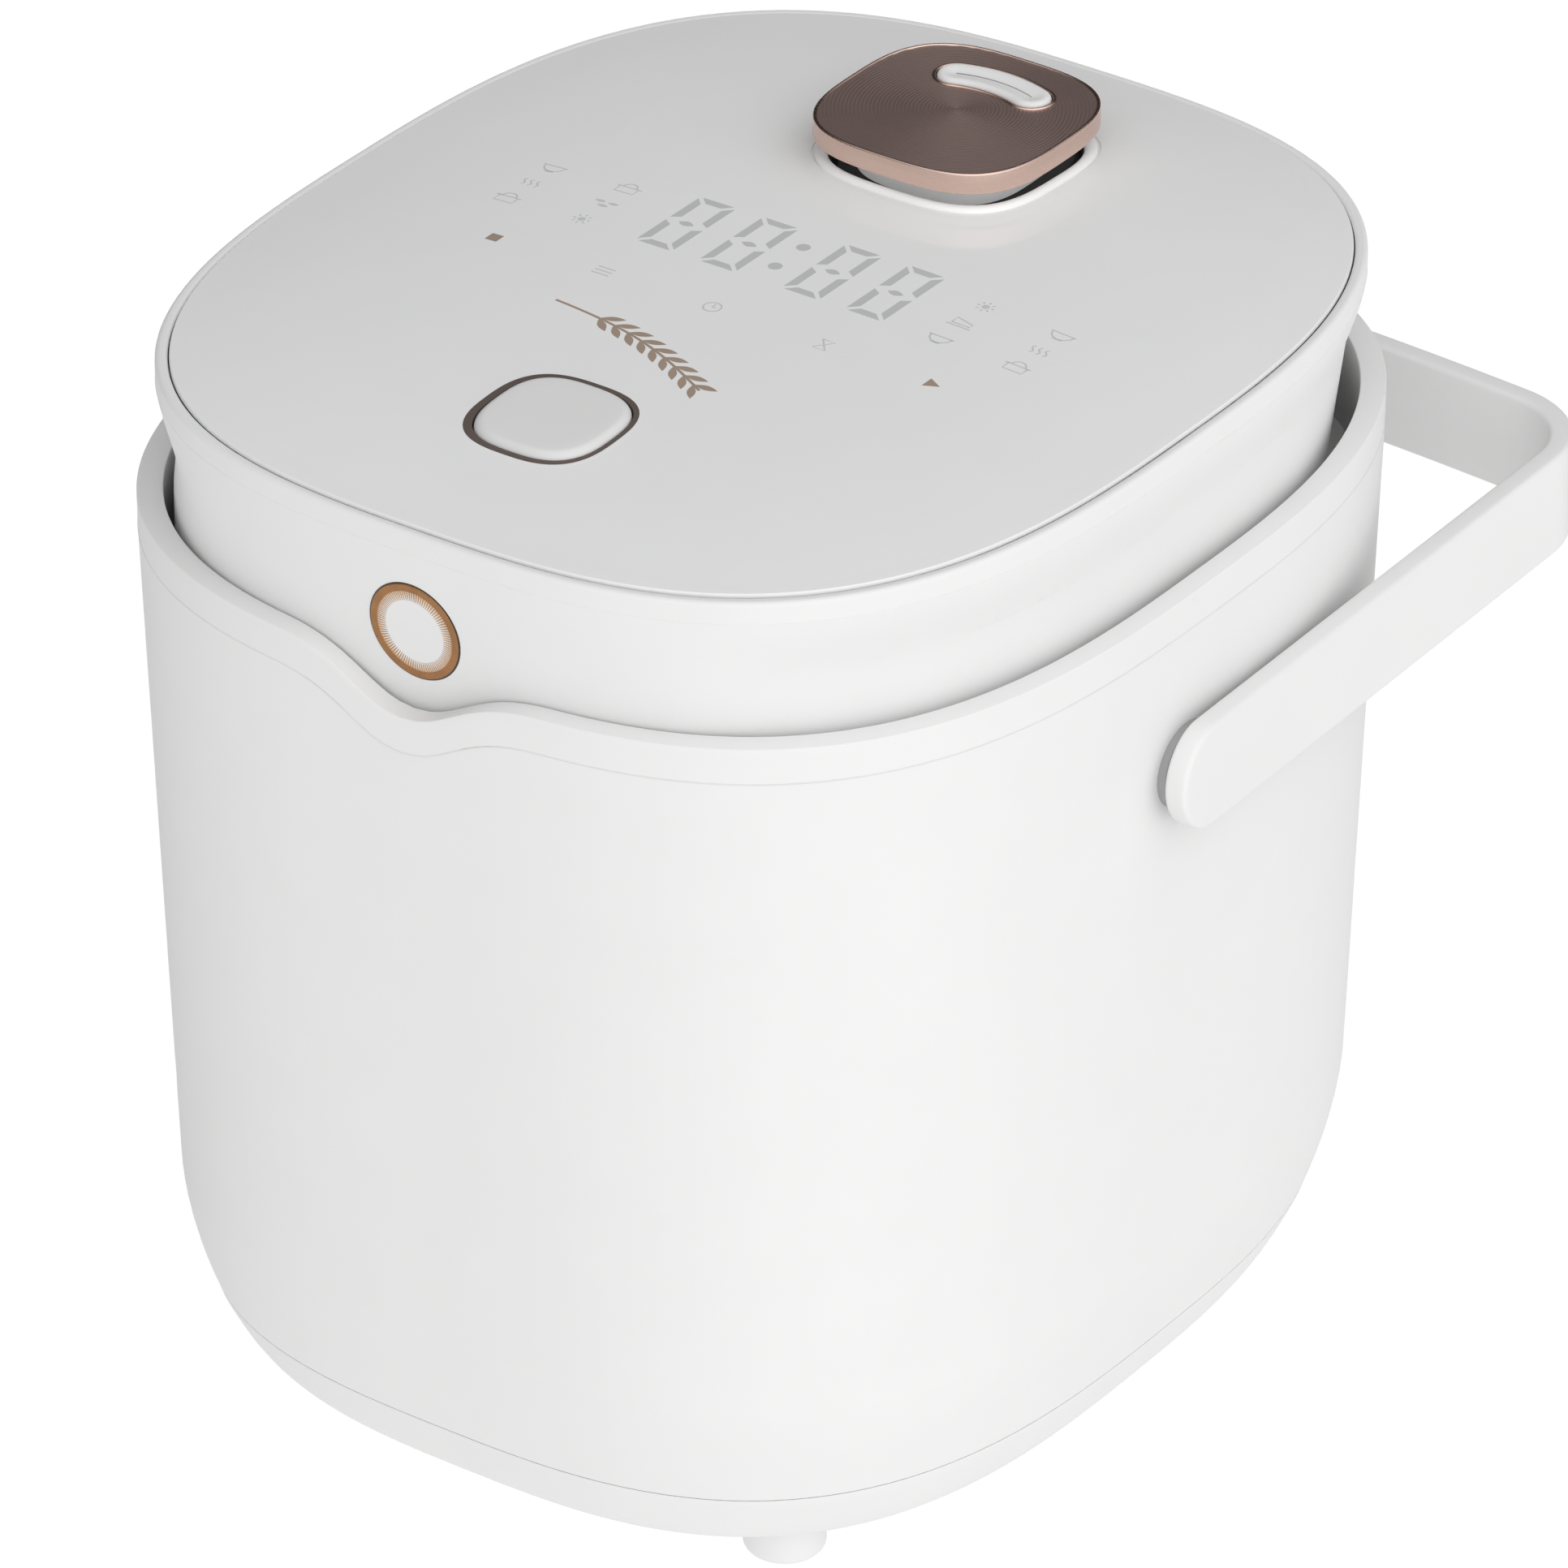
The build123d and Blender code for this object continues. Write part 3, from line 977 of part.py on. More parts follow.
ear_inner = hinge_outer - HINGE_EAR
for low, high in ((HINGE_SPRING_HALF, HINGE_MIDDLE_HALF), (ear_inner, hinge_outer)):
    hinge_bracket = hinge_bracket + knuckle((low, high)) + knuckle((-high, -low))
body_room = body_straight(plate_low - WALL, -FIT) + rim_prism(-FIT, SEAM_Z - WALL, RIM_Z + FIT)
hinge_bracket = hinge_bracket - body_room
hinge_hole = rod_x((-hinge_outer, hinge_outer), hinge_y, hinge_z, HINGE_PIN_RADIUS + PIN_FIT)
nodes["hinge_bracket"] = hinge_bracket - hinge_hole
nodes["hinge_pin"] = rod_x((-hinge_outer, hinge_outer), hinge_y, hinge_z, HINGE_PIN_RADIUS)
hinge_coil = coil(HINGE_COIL_RADIUS, HINGE_COIL_WIRE, 2 * HINGE_SPRING_HALF - HINGE_GAP, HINGE_COIL_TURNS)
coil_start = -HINGE_SPRING_HALF + HINGE_GAP / 2
nodes["hinge_spring"] = Pos(coil_start, hinge_y, hinge_z) * Rot(0, 90, 0) * hinge_coil

# Carry handle: one bowed strap with rounded ends, blind bores inside its arms
arm_end = HANDLE_PIVOT_Y - HANDLE_HEIGHT / 2


def handle_outline(inset):
    """Plan of the space inside the strap's outer face, moved inwards."""
    corner_x = HANDLE_CORNER_HALF - inset
    corner_y = HANDLE_CORNER_Y - inset
    end_x = HANDLE_HALF - inset
    middle = (0, HANDLE_BACK_Y - inset)
    right_side = Line((end_x, arm_end), (corner_x, corner_y))
    back = ThreePointArc((corner_x, corner_y), middle, (-corner_x, corner_y))
    left_side = Line((-corner_x, corner_y), (-end_x, arm_end))
    front = Line((-end_x, arm_end), (end_x, arm_end))
    face = make_face([right_side, back, left_side, front])
    corners = face.vertices().group_by(Axis.Y)[-1]
    return fillet(corners, HANDLE_CORNER_ROUND - inset)


strap = handle_outline(0.0) - handle_outline(HANDLE_THICK)
strap = Pos(0, 0, handle_pivot_z - HANDLE_HEIGHT / 2) * extrude(strap, HANDLE_HEIGHT, dir=(0, 0, 1))
behind_pivot = block((-REACH, REACH), (HANDLE_PIVOT_Y, REACH), (0, REACH))
round_end = rod_x((-REACH, REACH), HANDLE_PIVOT_Y, handle_pivot_z, HANDLE_HEIGHT / 2)
handle = strap & (behind_pivot + round_end)
arm_inner = HANDLE_HALF - HANDLE_THICK
bore_reach = arm_inner + PIVOT_PIN_INTO_ARM
handle_bore = rod_x((-bore_reach, bore_reach), HANDLE_PIVOT_Y, handle_pivot_z, PIVOT_PIN_RADIUS + RUN_FIT)
nodes["carry_handle"] = handle - handle_bore

# Handle pivots: a round spacer outside the wall and a headed pin from inside
arm_slope = (HANDLE_HALF - HANDLE_CORNER_HALF) / (HANDLE_CORNER_Y - arm_end)
boss_face = arm_inner - arm_slope * (HANDLE_HEIGHT / 2 + PIVOT_BOSS_RADIUS) - HANDLE_SIDE_GAP
pivot_wall = RIM_WIDTH / 2 - body_inset(handle_pivot_z)
pin_room = body_straight(EDGE_TOP_Z, 0.0)
for side, name in ((-1, "left"), (1, "right")):
    boss_range = sorted((side * (pivot_wall - WALL), side * boss_face))
    spacer = rod_x(boss_range, HANDLE_PIVOT_Y, handle_pivot_z, PIVOT_BOSS_RADIUS) - pin_room
    spacer = spacer - rod_x(boss_range, HANDLE_PIVOT_Y, handle_pivot_z, PIVOT_PIN_RADIUS + PIN_FIT)
    nodes["pivot_boss_" + name] = spacer
    head_face = pivot_wall - WALL - FIT
    pin_range = sorted((side * head_face, side * (bore_reach - HANDLE_SIDE_GAP)))
    head_range = sorted((side * (head_face - PIVOT_PIN_HEAD), side * head_face))
    pin = rod_x(pin_range, HANDLE_PIVOT_Y, handle_pivot_z, PIVOT_PIN_RADIUS)
    pin_head = rod_x(head_range, HANDLE_PIVOT_Y, handle_pivot_z, PIVOT_PIN_HEAD_RADIUS)
    nodes["pivot_pin_" + name] = pin + pin_head

# Write every piece in the frame of the footprint
os.makedirs("parts", exist_ok=True)
for name, shapes in nodes.items():
    if isinstance(shapes, list):
        piece = Compound(children=[Pos(0, -FRAME_SHIFT, 0) * shape for shape in shapes])
    else:
        piece = Pos(0, -FRAME_SHIFT, 0) * shapes
    export_step(piece, "parts/" + name + ".step")
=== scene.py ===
import json
import math

import bmesh
import bpy
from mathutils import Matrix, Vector
from mathutils.bvhtree import BVHTree


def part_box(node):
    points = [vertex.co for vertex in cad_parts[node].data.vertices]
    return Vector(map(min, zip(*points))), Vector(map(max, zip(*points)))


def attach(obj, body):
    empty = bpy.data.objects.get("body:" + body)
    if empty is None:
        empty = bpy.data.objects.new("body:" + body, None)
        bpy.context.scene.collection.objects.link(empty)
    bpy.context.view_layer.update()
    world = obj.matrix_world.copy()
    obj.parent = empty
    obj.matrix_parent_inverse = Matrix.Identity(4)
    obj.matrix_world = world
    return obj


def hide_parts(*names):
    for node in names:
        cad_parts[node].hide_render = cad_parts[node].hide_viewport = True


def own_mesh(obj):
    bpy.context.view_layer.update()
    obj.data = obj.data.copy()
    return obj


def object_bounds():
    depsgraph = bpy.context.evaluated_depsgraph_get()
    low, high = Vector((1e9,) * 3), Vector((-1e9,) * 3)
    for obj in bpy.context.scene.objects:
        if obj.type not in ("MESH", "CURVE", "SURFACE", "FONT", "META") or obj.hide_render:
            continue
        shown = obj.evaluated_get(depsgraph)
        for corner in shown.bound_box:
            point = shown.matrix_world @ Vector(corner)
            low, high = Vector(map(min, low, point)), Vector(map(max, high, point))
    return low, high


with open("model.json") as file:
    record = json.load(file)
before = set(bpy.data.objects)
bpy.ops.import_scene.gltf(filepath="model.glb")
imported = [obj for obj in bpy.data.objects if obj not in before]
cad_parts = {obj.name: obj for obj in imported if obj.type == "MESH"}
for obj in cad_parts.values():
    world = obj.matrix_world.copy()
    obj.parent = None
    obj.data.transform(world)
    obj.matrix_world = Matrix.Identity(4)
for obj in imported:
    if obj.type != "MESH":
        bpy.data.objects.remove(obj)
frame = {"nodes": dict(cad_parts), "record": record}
cad_low, cad_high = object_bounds()
nodes = frame["nodes"]

# Sizes are in metres, in the frame of the solids: X to the right, Y to the back, Z up.
MM = 0.001

# Lid outline and levels, read from the solids
panel_low, panel_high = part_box("top_panel")
lid_low, lid_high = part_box("lid_shell")
AXIS_Y = (panel_low.y + panel_high.y) / 2
LIP_Z = lid_high.z
LID_HALF_X = lid_high.x
LID_HALF_Y = AXIS_Y - lid_low.y
LID_POWER = 2.87
LID_CROWN = 5.4 * MM

# Camera, as the photograph was taken
IMAGE_SIDE = 1932
FOCAL_PIXELS = 14959.0
SENSOR = 36.0
CAMERA_AZIMUTH = 35.243
CAMERA_ELEVATION = 30.418
CAMERA_DISTANCE = 2.641921
CAMERA_SIDE = 3.756 * MM
CAMERA_BELOW_LIP = 121.089 * MM

# Points round a full outline, and the angles of a circle's points
RING_POINTS = 192
TURNS = [2 * math.pi * step / RING_POINTS for step in range(RING_POINTS)]

# Points nearer than this are one point, and edges sharper than this angle stay sharp
MERGE_DISTANCE = 0.0005 * MM
SHARP_ANGLE = 35.0


# Mesh helpers

def piece(name, shape, finish, body, replaced=(), sharp=SHARP_ANGLE):
    """Closed mesh object of vertices and faces that rides on a body and stands for some nodes."""
    vertices, faces = shape
    mesh = bpy.data.meshes.new(name)
    mesh.from_pydata(vertices, [], faces)
    work = bmesh.new()
    work.from_mesh(mesh)
    bmesh.ops.remove_doubles(work, verts=work.verts, dist=MERGE_DISTANCE)
    bmesh.ops.recalc_face_normals(work, faces=work.faces)
    work.to_mesh(mesh)
    work.free()
    mesh.polygons.foreach_set("use_smooth", [True] * len(mesh.polygons))
    mesh.set_sharp_from_angle(angle=math.radians(sharp))
    mesh.materials.append(FINISHES[finish])
    made = bpy.data.objects.new(name, mesh)
    bpy.context.scene.collection.objects.link(made)
    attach(made, body)
    if replaced:
        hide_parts(*replaced)
    return made


def squircle(half, power, centre_y, count=RING_POINTS, centre_x=0.0):
    """Plan points of |x|^power + |y|^power = half^power about a centre."""
    points = []
    for step in range(count):
        angle = 2 * math.pi * step / count
        reach = (abs(math.cos(angle)) ** power + abs(math.sin(angle)) ** power) ** (-1 / power)
        reach *= half
        points.append((centre_x + reach * math.cos(angle), centre_y + reach * math.sin(angle)))
    return points


def superellipse(half_x, half_y, power, count=RING_POINTS):
    """Plan points of the cooker's rounded outline, about its axis."""
    points = []
    for step in range(count):
        angle = 2 * math.pi * step / count
        across = math.copysign(abs(math.cos(angle)) ** (2 / power), math.cos(angle))
        along = math.copysign(abs(math.sin(angle)) ** (2 / power), math.sin(angle))
        points.append((half_x * across, AXIS_Y + half_y * along))
    return points


def lift(plan, height):
    """Plan points at one height."""
    return [(x, y, height) for x, y in plan]


def crown(x, y):
    """Height of the crowned top at a place."""
    across = abs(x / LID_HALF_X) ** LID_POWER
    along = abs((y - AXIS_Y) / LID_HALF_Y) ** LID_POWER
    return LIP_Z + LID_CROWN * (1 - across - along)


def on_crown(plan, rise):
    """Plan points at one distance above the crowned top."""
    return [(x, y, crown(x, y) + rise) for x, y in plan]


def skin(rings, joined):
    """Vertices and faces over equal rings: a closed tube if joined, else with a cap at each end."""
    count = len(rings[0])
    vertices = [point for ring in rings for point in ring]
    faces = []
    last = len(rings) if joined else len(rings) - 1
    for row in range(last):
        here = row * count
        above = (row + 1) % len(rings) * count
        for step in range(count):
            after = (step + 1) % count
            faces.append((here + step, here + after, above + after, above + step))
    if not joined:
        faces.append(tuple(range(count)))
        faces.append(tuple(range((len(rings) - 1) * count, len(rings) * count)))
    return vertices, faces


def arc(centre, radius, start, end, steps):
    """Points (across, up) on an arc, angles in degrees."""
    points = []
    for step in range(steps + 1):
        angle = math.radians(start + (end - start) * step / steps)
        points.append((centre[0] + radius * math.cos(angle), centre[1] + radius * math.sin(angle)))
    return points


def add_prism(mesh, below, above):
    """Adds a prism between two equal outlines to a pair of lists, vertices and faces."""
    vertices, faces = mesh
    base = len(vertices)
    count = len(below)
    vertices += below
    vertices += above
    faces.append(tuple(range(base + count - 1, base - 1, -1)))
    faces.append(tuple(range(base + count, base + 2 * count)))
    for step in range(count):
        after = (step + 1) % count
        faces.append((base + step, base + after, base + count + after, base + count + step))


# Materials

DRIFT_DETAIL = 3.0
DRIFT_SPAN = (0.3, 0.7)
GRAIN_DETAIL = 2.0
GRAIN_SPAN = (0.25, 0.75)
LEAST_ROUGHNESS = 0.02
WHITE = (1.0, 1.0, 1.0, 1.0)
SATIN = {"Specular IOR Level": 0.004}


def surface(name, colour, roughness, metallic=0.0, mottle=0.02, mottle_size=18 * MM, grain_size=0.5 * MM,
            grain_depth=0.002 * MM, rough_spread=0.05, stretch=(1.0, 1.0, 1.0), sockets=None):
    """Node material: a slight drift of colour, a grain in the gloss and a fine relief."""
    made = bpy.data.materials.new(name)
    made.use_nodes = True
    tree = made.node_tree
    shader = tree.nodes["Principled BSDF"]
    shader.inputs["Metallic"].default_value = metallic
    for socket, value in (sockets or {}).items():
        shader.inputs[socket].default_value = value

    place = tree.nodes.new("ShaderNodeTexCoord")
    mapping = tree.nodes.new("ShaderNodeMapping")
    mapping.inputs["Scale"].default_value = stretch
    tree.links.new(place.outputs["Object"], mapping.inputs["Vector"])

    drift = tree.nodes.new("ShaderNodeTexNoise")
    drift.inputs["Scale"].default_value = 1 / mottle_size
    drift.inputs["Detail"].default_value = DRIFT_DETAIL
    tree.links.new(mapping.outputs["Vector"], drift.inputs["Vector"])
    ramp = tree.nodes.new("ShaderNodeValToRGB")
    for stop, share, position in zip(ramp.color_ramp.elements, (1 - mottle, 1 + mottle), DRIFT_SPAN):
        stop.color = (*[min(part * share, 1.0) for part in colour], 1.0)
        stop.position = position
    tree.links.new(drift.outputs["Fac"], ramp.inputs["Fac"])
    tree.links.new(ramp.outputs["Color"], shader.inputs["Base Color"])

    grain = tree.nodes.new("ShaderNodeTexNoise")
    grain.inputs["Scale"].default_value = 1 / grain_size
    grain.inputs["Detail"].default_value = GRAIN_DETAIL
    tree.links.new(mapping.outputs["Vector"], grain.inputs["Vector"])
    gloss = tree.nodes.new("ShaderNodeMapRange")
    gloss.inputs["From Min"].default_value = GRAIN_SPAN[0]
    gloss.inputs["From Max"].default_value = GRAIN_SPAN[1]
    gloss.inputs["To Min"].default_value = max(roughness - rough_spread, LEAST_ROUGHNESS)
    gloss.inputs["To Max"].default_value = roughness + rough_spread
    tree.links.new(grain.outputs["Fac"], gloss.inputs["Value"])
    tree.links.new(gloss.outputs["Result"], shader.inputs["Roughness"])
    bump = tree.nodes.new("ShaderNodeBump")
    bump.inputs["Distance"].default_value = grain_depth
    tree.links.new(grain.outputs["Fac"], bump.inputs["Height"])
    tree.links.new(bump.outputs["Normal"], shader.inputs["Normal"])
    return made


FINISHES = {}


def add_finish(name, *values, **more):
    """Adds a material to the finishes."""
    FINISHES[name] = surface(name, *values, **more)


add_finish("white_plastic", (0.80, 0.80, 0.798), 0.42, mottle=0.006, sockets=SATIN)
add_finish("button_white", (0.755, 0.755, 0.753), 0.42, mottle=0.006, sockets=SATIN)
add_finish("panel_white", (0.866, 0.867, 0.867), 0.09, mottle=0.005, grain_size=9 * MM,
           grain_depth=0.004 * MM, rough_spread=0.02, sockets={"Specular IOR Level": 0.25})
add_finish("rose_bronze", (0.74, 0.54, 0.465), 0.26, metallic=1.0, stretch=(1.0, 1.0, 14.0))
add_finish("dark_bronze", (0.131, 0.104, 0.092), 0.38, mottle=0.04)
add_finish("dark_plastic", (0.028, 0.028, 0.03), 0.45, mottle=0.1)
add_finish("smoke_display", (0.03, 0.03, 0.034), 0.12, mottle=0.1)
add_finish("circuit_board", (0.02, 0.13, 0.055), 0.4, mottle=0.35, mottle_size=3 * MM)
add_finish("pot_coating", (0.055, 0.052, 0.05), 0.38, mottle=0.3, mottle_size=0.8 * MM,
           grain_depth=0.006 * MM)
add_finish("cast_aluminium", (0.66, 0.66, 0.67), 0.36, metallic=1.0, mottle=0.05,
           mottle_size=2 * MM, grain_depth=0.006 * MM)
add_finish("sheet_steel", (0.56, 0.56, 0.56), 0.3, metallic=1.0, mottle=0.05,
           stretch=(1.0, 1.0, 25.0))
add_finish("spring_steel", (0.42, 0.42, 0.43), 0.28, metallic=1.0, mottle=0.06)
add_finish("nickel", (0.72, 0.70, 0.66), 0.18, metallic=1.0, mottle=0.03)
add_finish("silicone", (0.62, 0.62, 0.61), 0.5, mottle=0.03,
           sockets={"Subsurface Weight": 0.2, "Subsurface Scale": 1.5 * MM})
# Also lines the steam cup, where the black is painted shade
add_finish("black_rubber", (0.018, 0.018, 0.018), 0.75, mottle=0.15, grain_depth=0.01 * MM)
add_finish("emblem_gold", (0.32, 0.147, 0.05), 0.3, metallic=0.45, mottle=0.1,
           mottle_size=4 * MM)
add_finish("cap_plate", (0.295, 0.212, 0.194), 0.3, metallic=0.5, mottle=0.05,
           grain_depth=0.0003 * MM, rough_spread=0.02)
add_finish("print_grey", (0.60, 0.61, 0.61), 0.12, mottle=0.01, grain_size=9 * MM)
add_finish("print_pale", (0.655, 0.665, 0.665), 0.12, mottle=0.01, grain_size=9 * MM)
add_finish("seam_grey", (0.70, 0.70, 0.70), 0.5, mottle=0.01)
add_finish("print_brown", (0.40, 0.312, 0.252), 0.14, mottle=0.03, grain_size=9 * MM)
# White neck with a faint glow: painted light that lifts its shade under the cap band
add_finish("neck_white_painted_glow", (0.86, 0.86, 0.855), 0.45, mottle=0.01,
           sockets={"Emission Color": WHITE, "Emission Strength": 0.15})
add_finish("bead_white", (0.965, 0.965, 0.96), 0.35, mottle=0.006)
add_finish("ray_gold", (0.46, 0.24, 0.085), 0.3, metallic=0.3, mottle=0.1, mottle_size=4 * MM)
# White spacers darkened to grey: painted shade of the narrow space between the strap and the wall
add_finish("spacer_painted_shade", (0.36, 0.36, 0.36), 0.5, mottle=0.02)

for part in frame["record"]["subparts"]:
    node = nodes[part["node"]]
    node.data.materials.clear()
    node.data.materials.append(FINISHES[part["material_slot"]])


# Carry handle: a bowed strap with rounded edges and round ends

HANDLE_THICK = 5.4 * MM
HANDLE_CORNER_INSET = 3.7 * MM
HANDLE_BOW = 6.7 * MM
HANDLE_CORNER_ROUND = 24 * MM
HANDLE_EDGE = 1.2 * MM
HANDLE_ARM_STEPS = 12
HANDLE_CORNER_STEPS = 16
HANDLE_BACK_STEPS = 24
HANDLE_END_STEPS = 16
HANDLE_EDGE_STEPS = 5


def strap_line(half_x, end_y, pivot_y, back_y):
    """Places and outward directions along the strap's outer face, from the right pivot to the left."""
    start = Vector((half_x, end_y))
    corner = Vector((half_x - HANDLE_CORNER_INSET, back_y - HANDLE_BOW))
    along = (corner - start).normalized()
    inward = Vector((-along.y, along.x))
    bow_radius = (corner.x ** 2 + HANDLE_BOW ** 2) / (2 * HANDLE_BOW)
    bow_centre = Vector((0.0, back_y - bow_radius))

    # The corner's centre lies one corner radius inside the arm's line and inside the bow
    offset = start + inward * HANDLE_CORNER_ROUND - bow_centre
    middle = offset.dot(along)
    reach = bow_radius - HANDLE_CORNER_ROUND
    travel = -middle + math.sqrt(middle ** 2 - offset.length_squared + reach ** 2)
    round_centre = start + inward * HANDLE_CORNER_ROUND + along * travel
    arm_end = start + along * travel
    arm_start = start + along * (pivot_y - end_y) / along.y
    bow_start = (round_centre - bow_centre).normalized()

    right = []
    for step in range(HANDLE_ARM_STEPS):
        right.append((arm_start.lerp(arm_end, step / HANDLE_ARM_STEPS), -inward))
    first = math.atan2(-inward.y, -inward.x)
    last = math.atan2(bow_start.y, bow_start.x)
    for step in range(HANDLE_CORNER_STEPS):
        angle = first + (last - first) * step / HANDLE_CORNER_STEPS
        outward = Vector((math.cos(angle), math.sin(angle)))
        right.append((round_centre + outward * HANDLE_CORNER_ROUND, outward))
    for step in range(HANDLE_BACK_STEPS):
        angle = last + (math.pi / 2 - last) * step / HANDLE_BACK_STEPS
        outward = Vector((math.cos(angle), math.sin(angle)))
        right.append((bow_centre + outward * bow_radius, outward))
    peak = [(Vector((0.0, back_y)), Vector((0.0, 1.0)))]
    left = [(Vector((-spot.x, spot.y)), Vector((-way.x, way.y))) for spot, way in reversed(right)]
    return right + peak + left, along


def handle():
    """Strap built in layers from its outer to its inner face."""
    low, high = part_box("carry_handle")
    half_height = (high.z - low.z) / 2
    middle_z = (high.z + low.z) / 2
    stations, along = strap_line(high.x, low.y, low.y + half_height, high.y)
    rounding = []
    for step in range(HANDLE_EDGE_STEPS + 1):
        angle = math.pi / 2 * step / HANDLE_EDGE_STEPS
        rounding.append((HANDLE_EDGE * (1 - math.cos(angle)), HANDLE_EDGE * (1 - math.sin(angle))))
    layers = rounding + [(HANDLE_THICK - depth, inset) for depth, inset in reversed(rounding)]

    rings = []
    for depth, inset in layers:
        radius = half_height - inset
        columns = []
        for side in (1, -1):
            spot, way = stations[0] if side == 1 else stations[-1]
            forward = Vector((side * along.x, along.y))
            tip = []
            for step in range(HANDLE_END_STEPS):
                angle = math.pi / 2 * (1 - step / HANDLE_END_STEPS)
                place = spot - forward * radius * math.sin(angle) - way * depth
                tip.append((place, radius * math.cos(angle)))
            columns.append(tip)
        body = [(spot - way * depth, radius) for spot, way in stations]
        whole = columns[0] + body + columns[1][::-1]
        top = [(place.x, place.y, middle_z + rise) for place, rise in whole]
        bottom = [(place.x, place.y, middle_z - rise) for place, rise in whole]
        rings.append(top + bottom[::-1])
    vertices, faces = skin(rings, joined=False)
    faces = faces[:-2]
    count = len(rings[0])
    for base in (0, (len(rings) - 1) * count):
        for step in range(count // 2 - 1):
            faces.append((base + step, base + step + 1, base + count - 2 - step, base + count - 1 - step))
    piece("handle_strap", (vertices, faces), "white_plastic", "handle", ["carry_handle"])


handle()


# Steam cap: satin band with a polished bead, grooved plate and a white curved slot

CAP_POWER = 3.1
CAP_BEAD = 0.42 * MM
CAP_FOOT_ROUND = 0.4 * MM
CAP_WALL = 1.4 * MM
CAP_FOOT_STEPS = 4
CAP_BEAD_STEPS = 10
CAP_SHARP = 50.0
PLATE_INSET = 1.6 * CAP_BEAD
PLATE_SHARP = 8.0
PLATE_SINK = 0.22 * MM
GROOVE_PITCH = 0.85 * MM
GROOVE_DEPTH = 0.1 * MM
PLATE_THICK = 1.0 * MM
PLATE_ANGLES = 288
SLOT_RADIUS = 28.0 * MM
SLOT_CENTRE_X = 0.8 * MM
SLOT_CENTRE_Y = -13.2 * MM
SLOT_HALF_ANGLE = 20.3
SLOT_HALF_WIDTH = 4.4 * MM
SLOT_GAP = 0.35 * MM
SLOT_BEAD = 0.4 * MM
SLOT_RIM = 1.1 * MM
SLOT_RIM_STEPS = 6
SLOT_BEAD_TURN = 330
SLOT_BEAD_STEPS = 11
SLOT_DISH = 0.55 * MM
SLOT_DISH_STEPS = 10
SLOT_PIT = 1.1 * MM
SLOT_ARC_STEPS = 40
SLOT_END_STEPS = 18
NECK_HALF = 19.6 * MM
NECK_POWER = 2.9
NECK_ROUND = 2.2 * MM
NECK_STEPS = 8
FOOT_RISE = 4.4 * MM

cap_low, cap_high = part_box("vent_cap_cover")
CAP_HALF = cap_high.x
CAP_Y = (cap_low.y + cap_high.y) / 2
PLATE_Z = cap_high.z - PLATE_SINK
SLOT_MIDDLE = (SLOT_CENTRE_X, CAP_Y + SLOT_CENTRE_Y)


def slot_distance(x, y):
    """Distance in plan from the middle line of the curved slot."""
    across = x - SLOT_CENTRE_X
    ahead = y - CAP_Y - SLOT_CENTRE_Y
    angle = math.degrees(math.atan2(abs(across), ahead))
    if angle <= SLOT_HALF_ANGLE:
        return abs(math.hypot(across, ahead) - SLOT_RADIUS)
    end = math.radians(SLOT_HALF_ANGLE)
    return math.hypot(abs(across) - SLOT_RADIUS * math.sin(end), ahead - SLOT_RADIUS * math.cos(end))


def slot_loop(offset):
    """Plan points at one distance from the middle line of the curved slot."""
    start = 90 - SLOT_HALF_ANGLE
    end = 90 + SLOT_HALF_ANGLE
    start_point, end_point = arc(SLOT_MIDDLE, SLOT_RADIUS, start, end, 1)
    loop = arc(SLOT_MIDDLE, SLOT_RADIUS + offset, start, end, SLOT_ARC_STEPS)
    loop += arc(end_point, offset, end, end + 180, SLOT_END_STEPS)[1:]
    loop += arc(SLOT_MIDDLE, SLOT_RADIUS - offset, end, start, SLOT_ARC_STEPS)[1:]
    loop += arc(start_point, offset, start + 180, start + 360, SLOT_END_STEPS)[1:]
    return loop[:-1]


def cap_band():
    """Side band of the cap with a rounded foot and a bead along its top edge."""
    low, top = cap_low.z, cap_high.z
    profile = [(CAP_WALL, low)]
    profile += arc((CAP_FOOT_ROUND, low + CAP_FOOT_ROUND), CAP_FOOT_ROUND, 270, 180, CAP_FOOT_STEPS)
    profile += arc((CAP_BEAD, top - CAP_BEAD), CAP_BEAD, 180, 0, CAP_BEAD_STEPS)
    profile += [(CAP_WALL, top - 2 * CAP_BEAD)]
    rings = [lift(squircle(CAP_HALF - inset, CAP_POWER, CAP_Y), height) for inset, height in profile]
    piece("steam_cap_band", skin(rings, joined=True), "rose_bronze", "steam_cap",
          ["vent_cap_cover"], sharp=CAP_SHARP)


def cap_plate():
    """Plate with turned grooves inside the bead, sunk under the slot."""
    outline = squircle(CAP_HALF - PLATE_INSET, CAP_POWER, CAP_Y, PLATE_ANGLES)
    reach = max(math.hypot(x, y - CAP_Y) for x, y in outline)
    count = math.ceil(reach / (GROOVE_PITCH / 2))
    rings = []
    for row in range(1, count + 1):
        radius = row * GROOVE_PITCH / 2
        ring = []
        for x, y in outline:
            limit = math.hypot(x, y - CAP_Y)
            share = min(radius / limit, 1.0)
            place = (x * share, CAP_Y + (y - CAP_Y) * share)
            height = PLATE_Z - GROOVE_DEPTH * (row % 2) * (share < 1.0)
            if slot_distance(*place) < SLOT_HALF_WIDTH + SLOT_GAP:
                height = PLATE_Z - SLOT_PIT
            ring.append((*place, height))
        rings.append(ring)
    rings.append(lift(outline, PLATE_Z - SLOT_PIT - PLATE_THICK))
    piece("steam_cap_plate", skin(rings, joined=False), "cap_plate", "steam_cap",
          sharp=PLATE_SHARP)


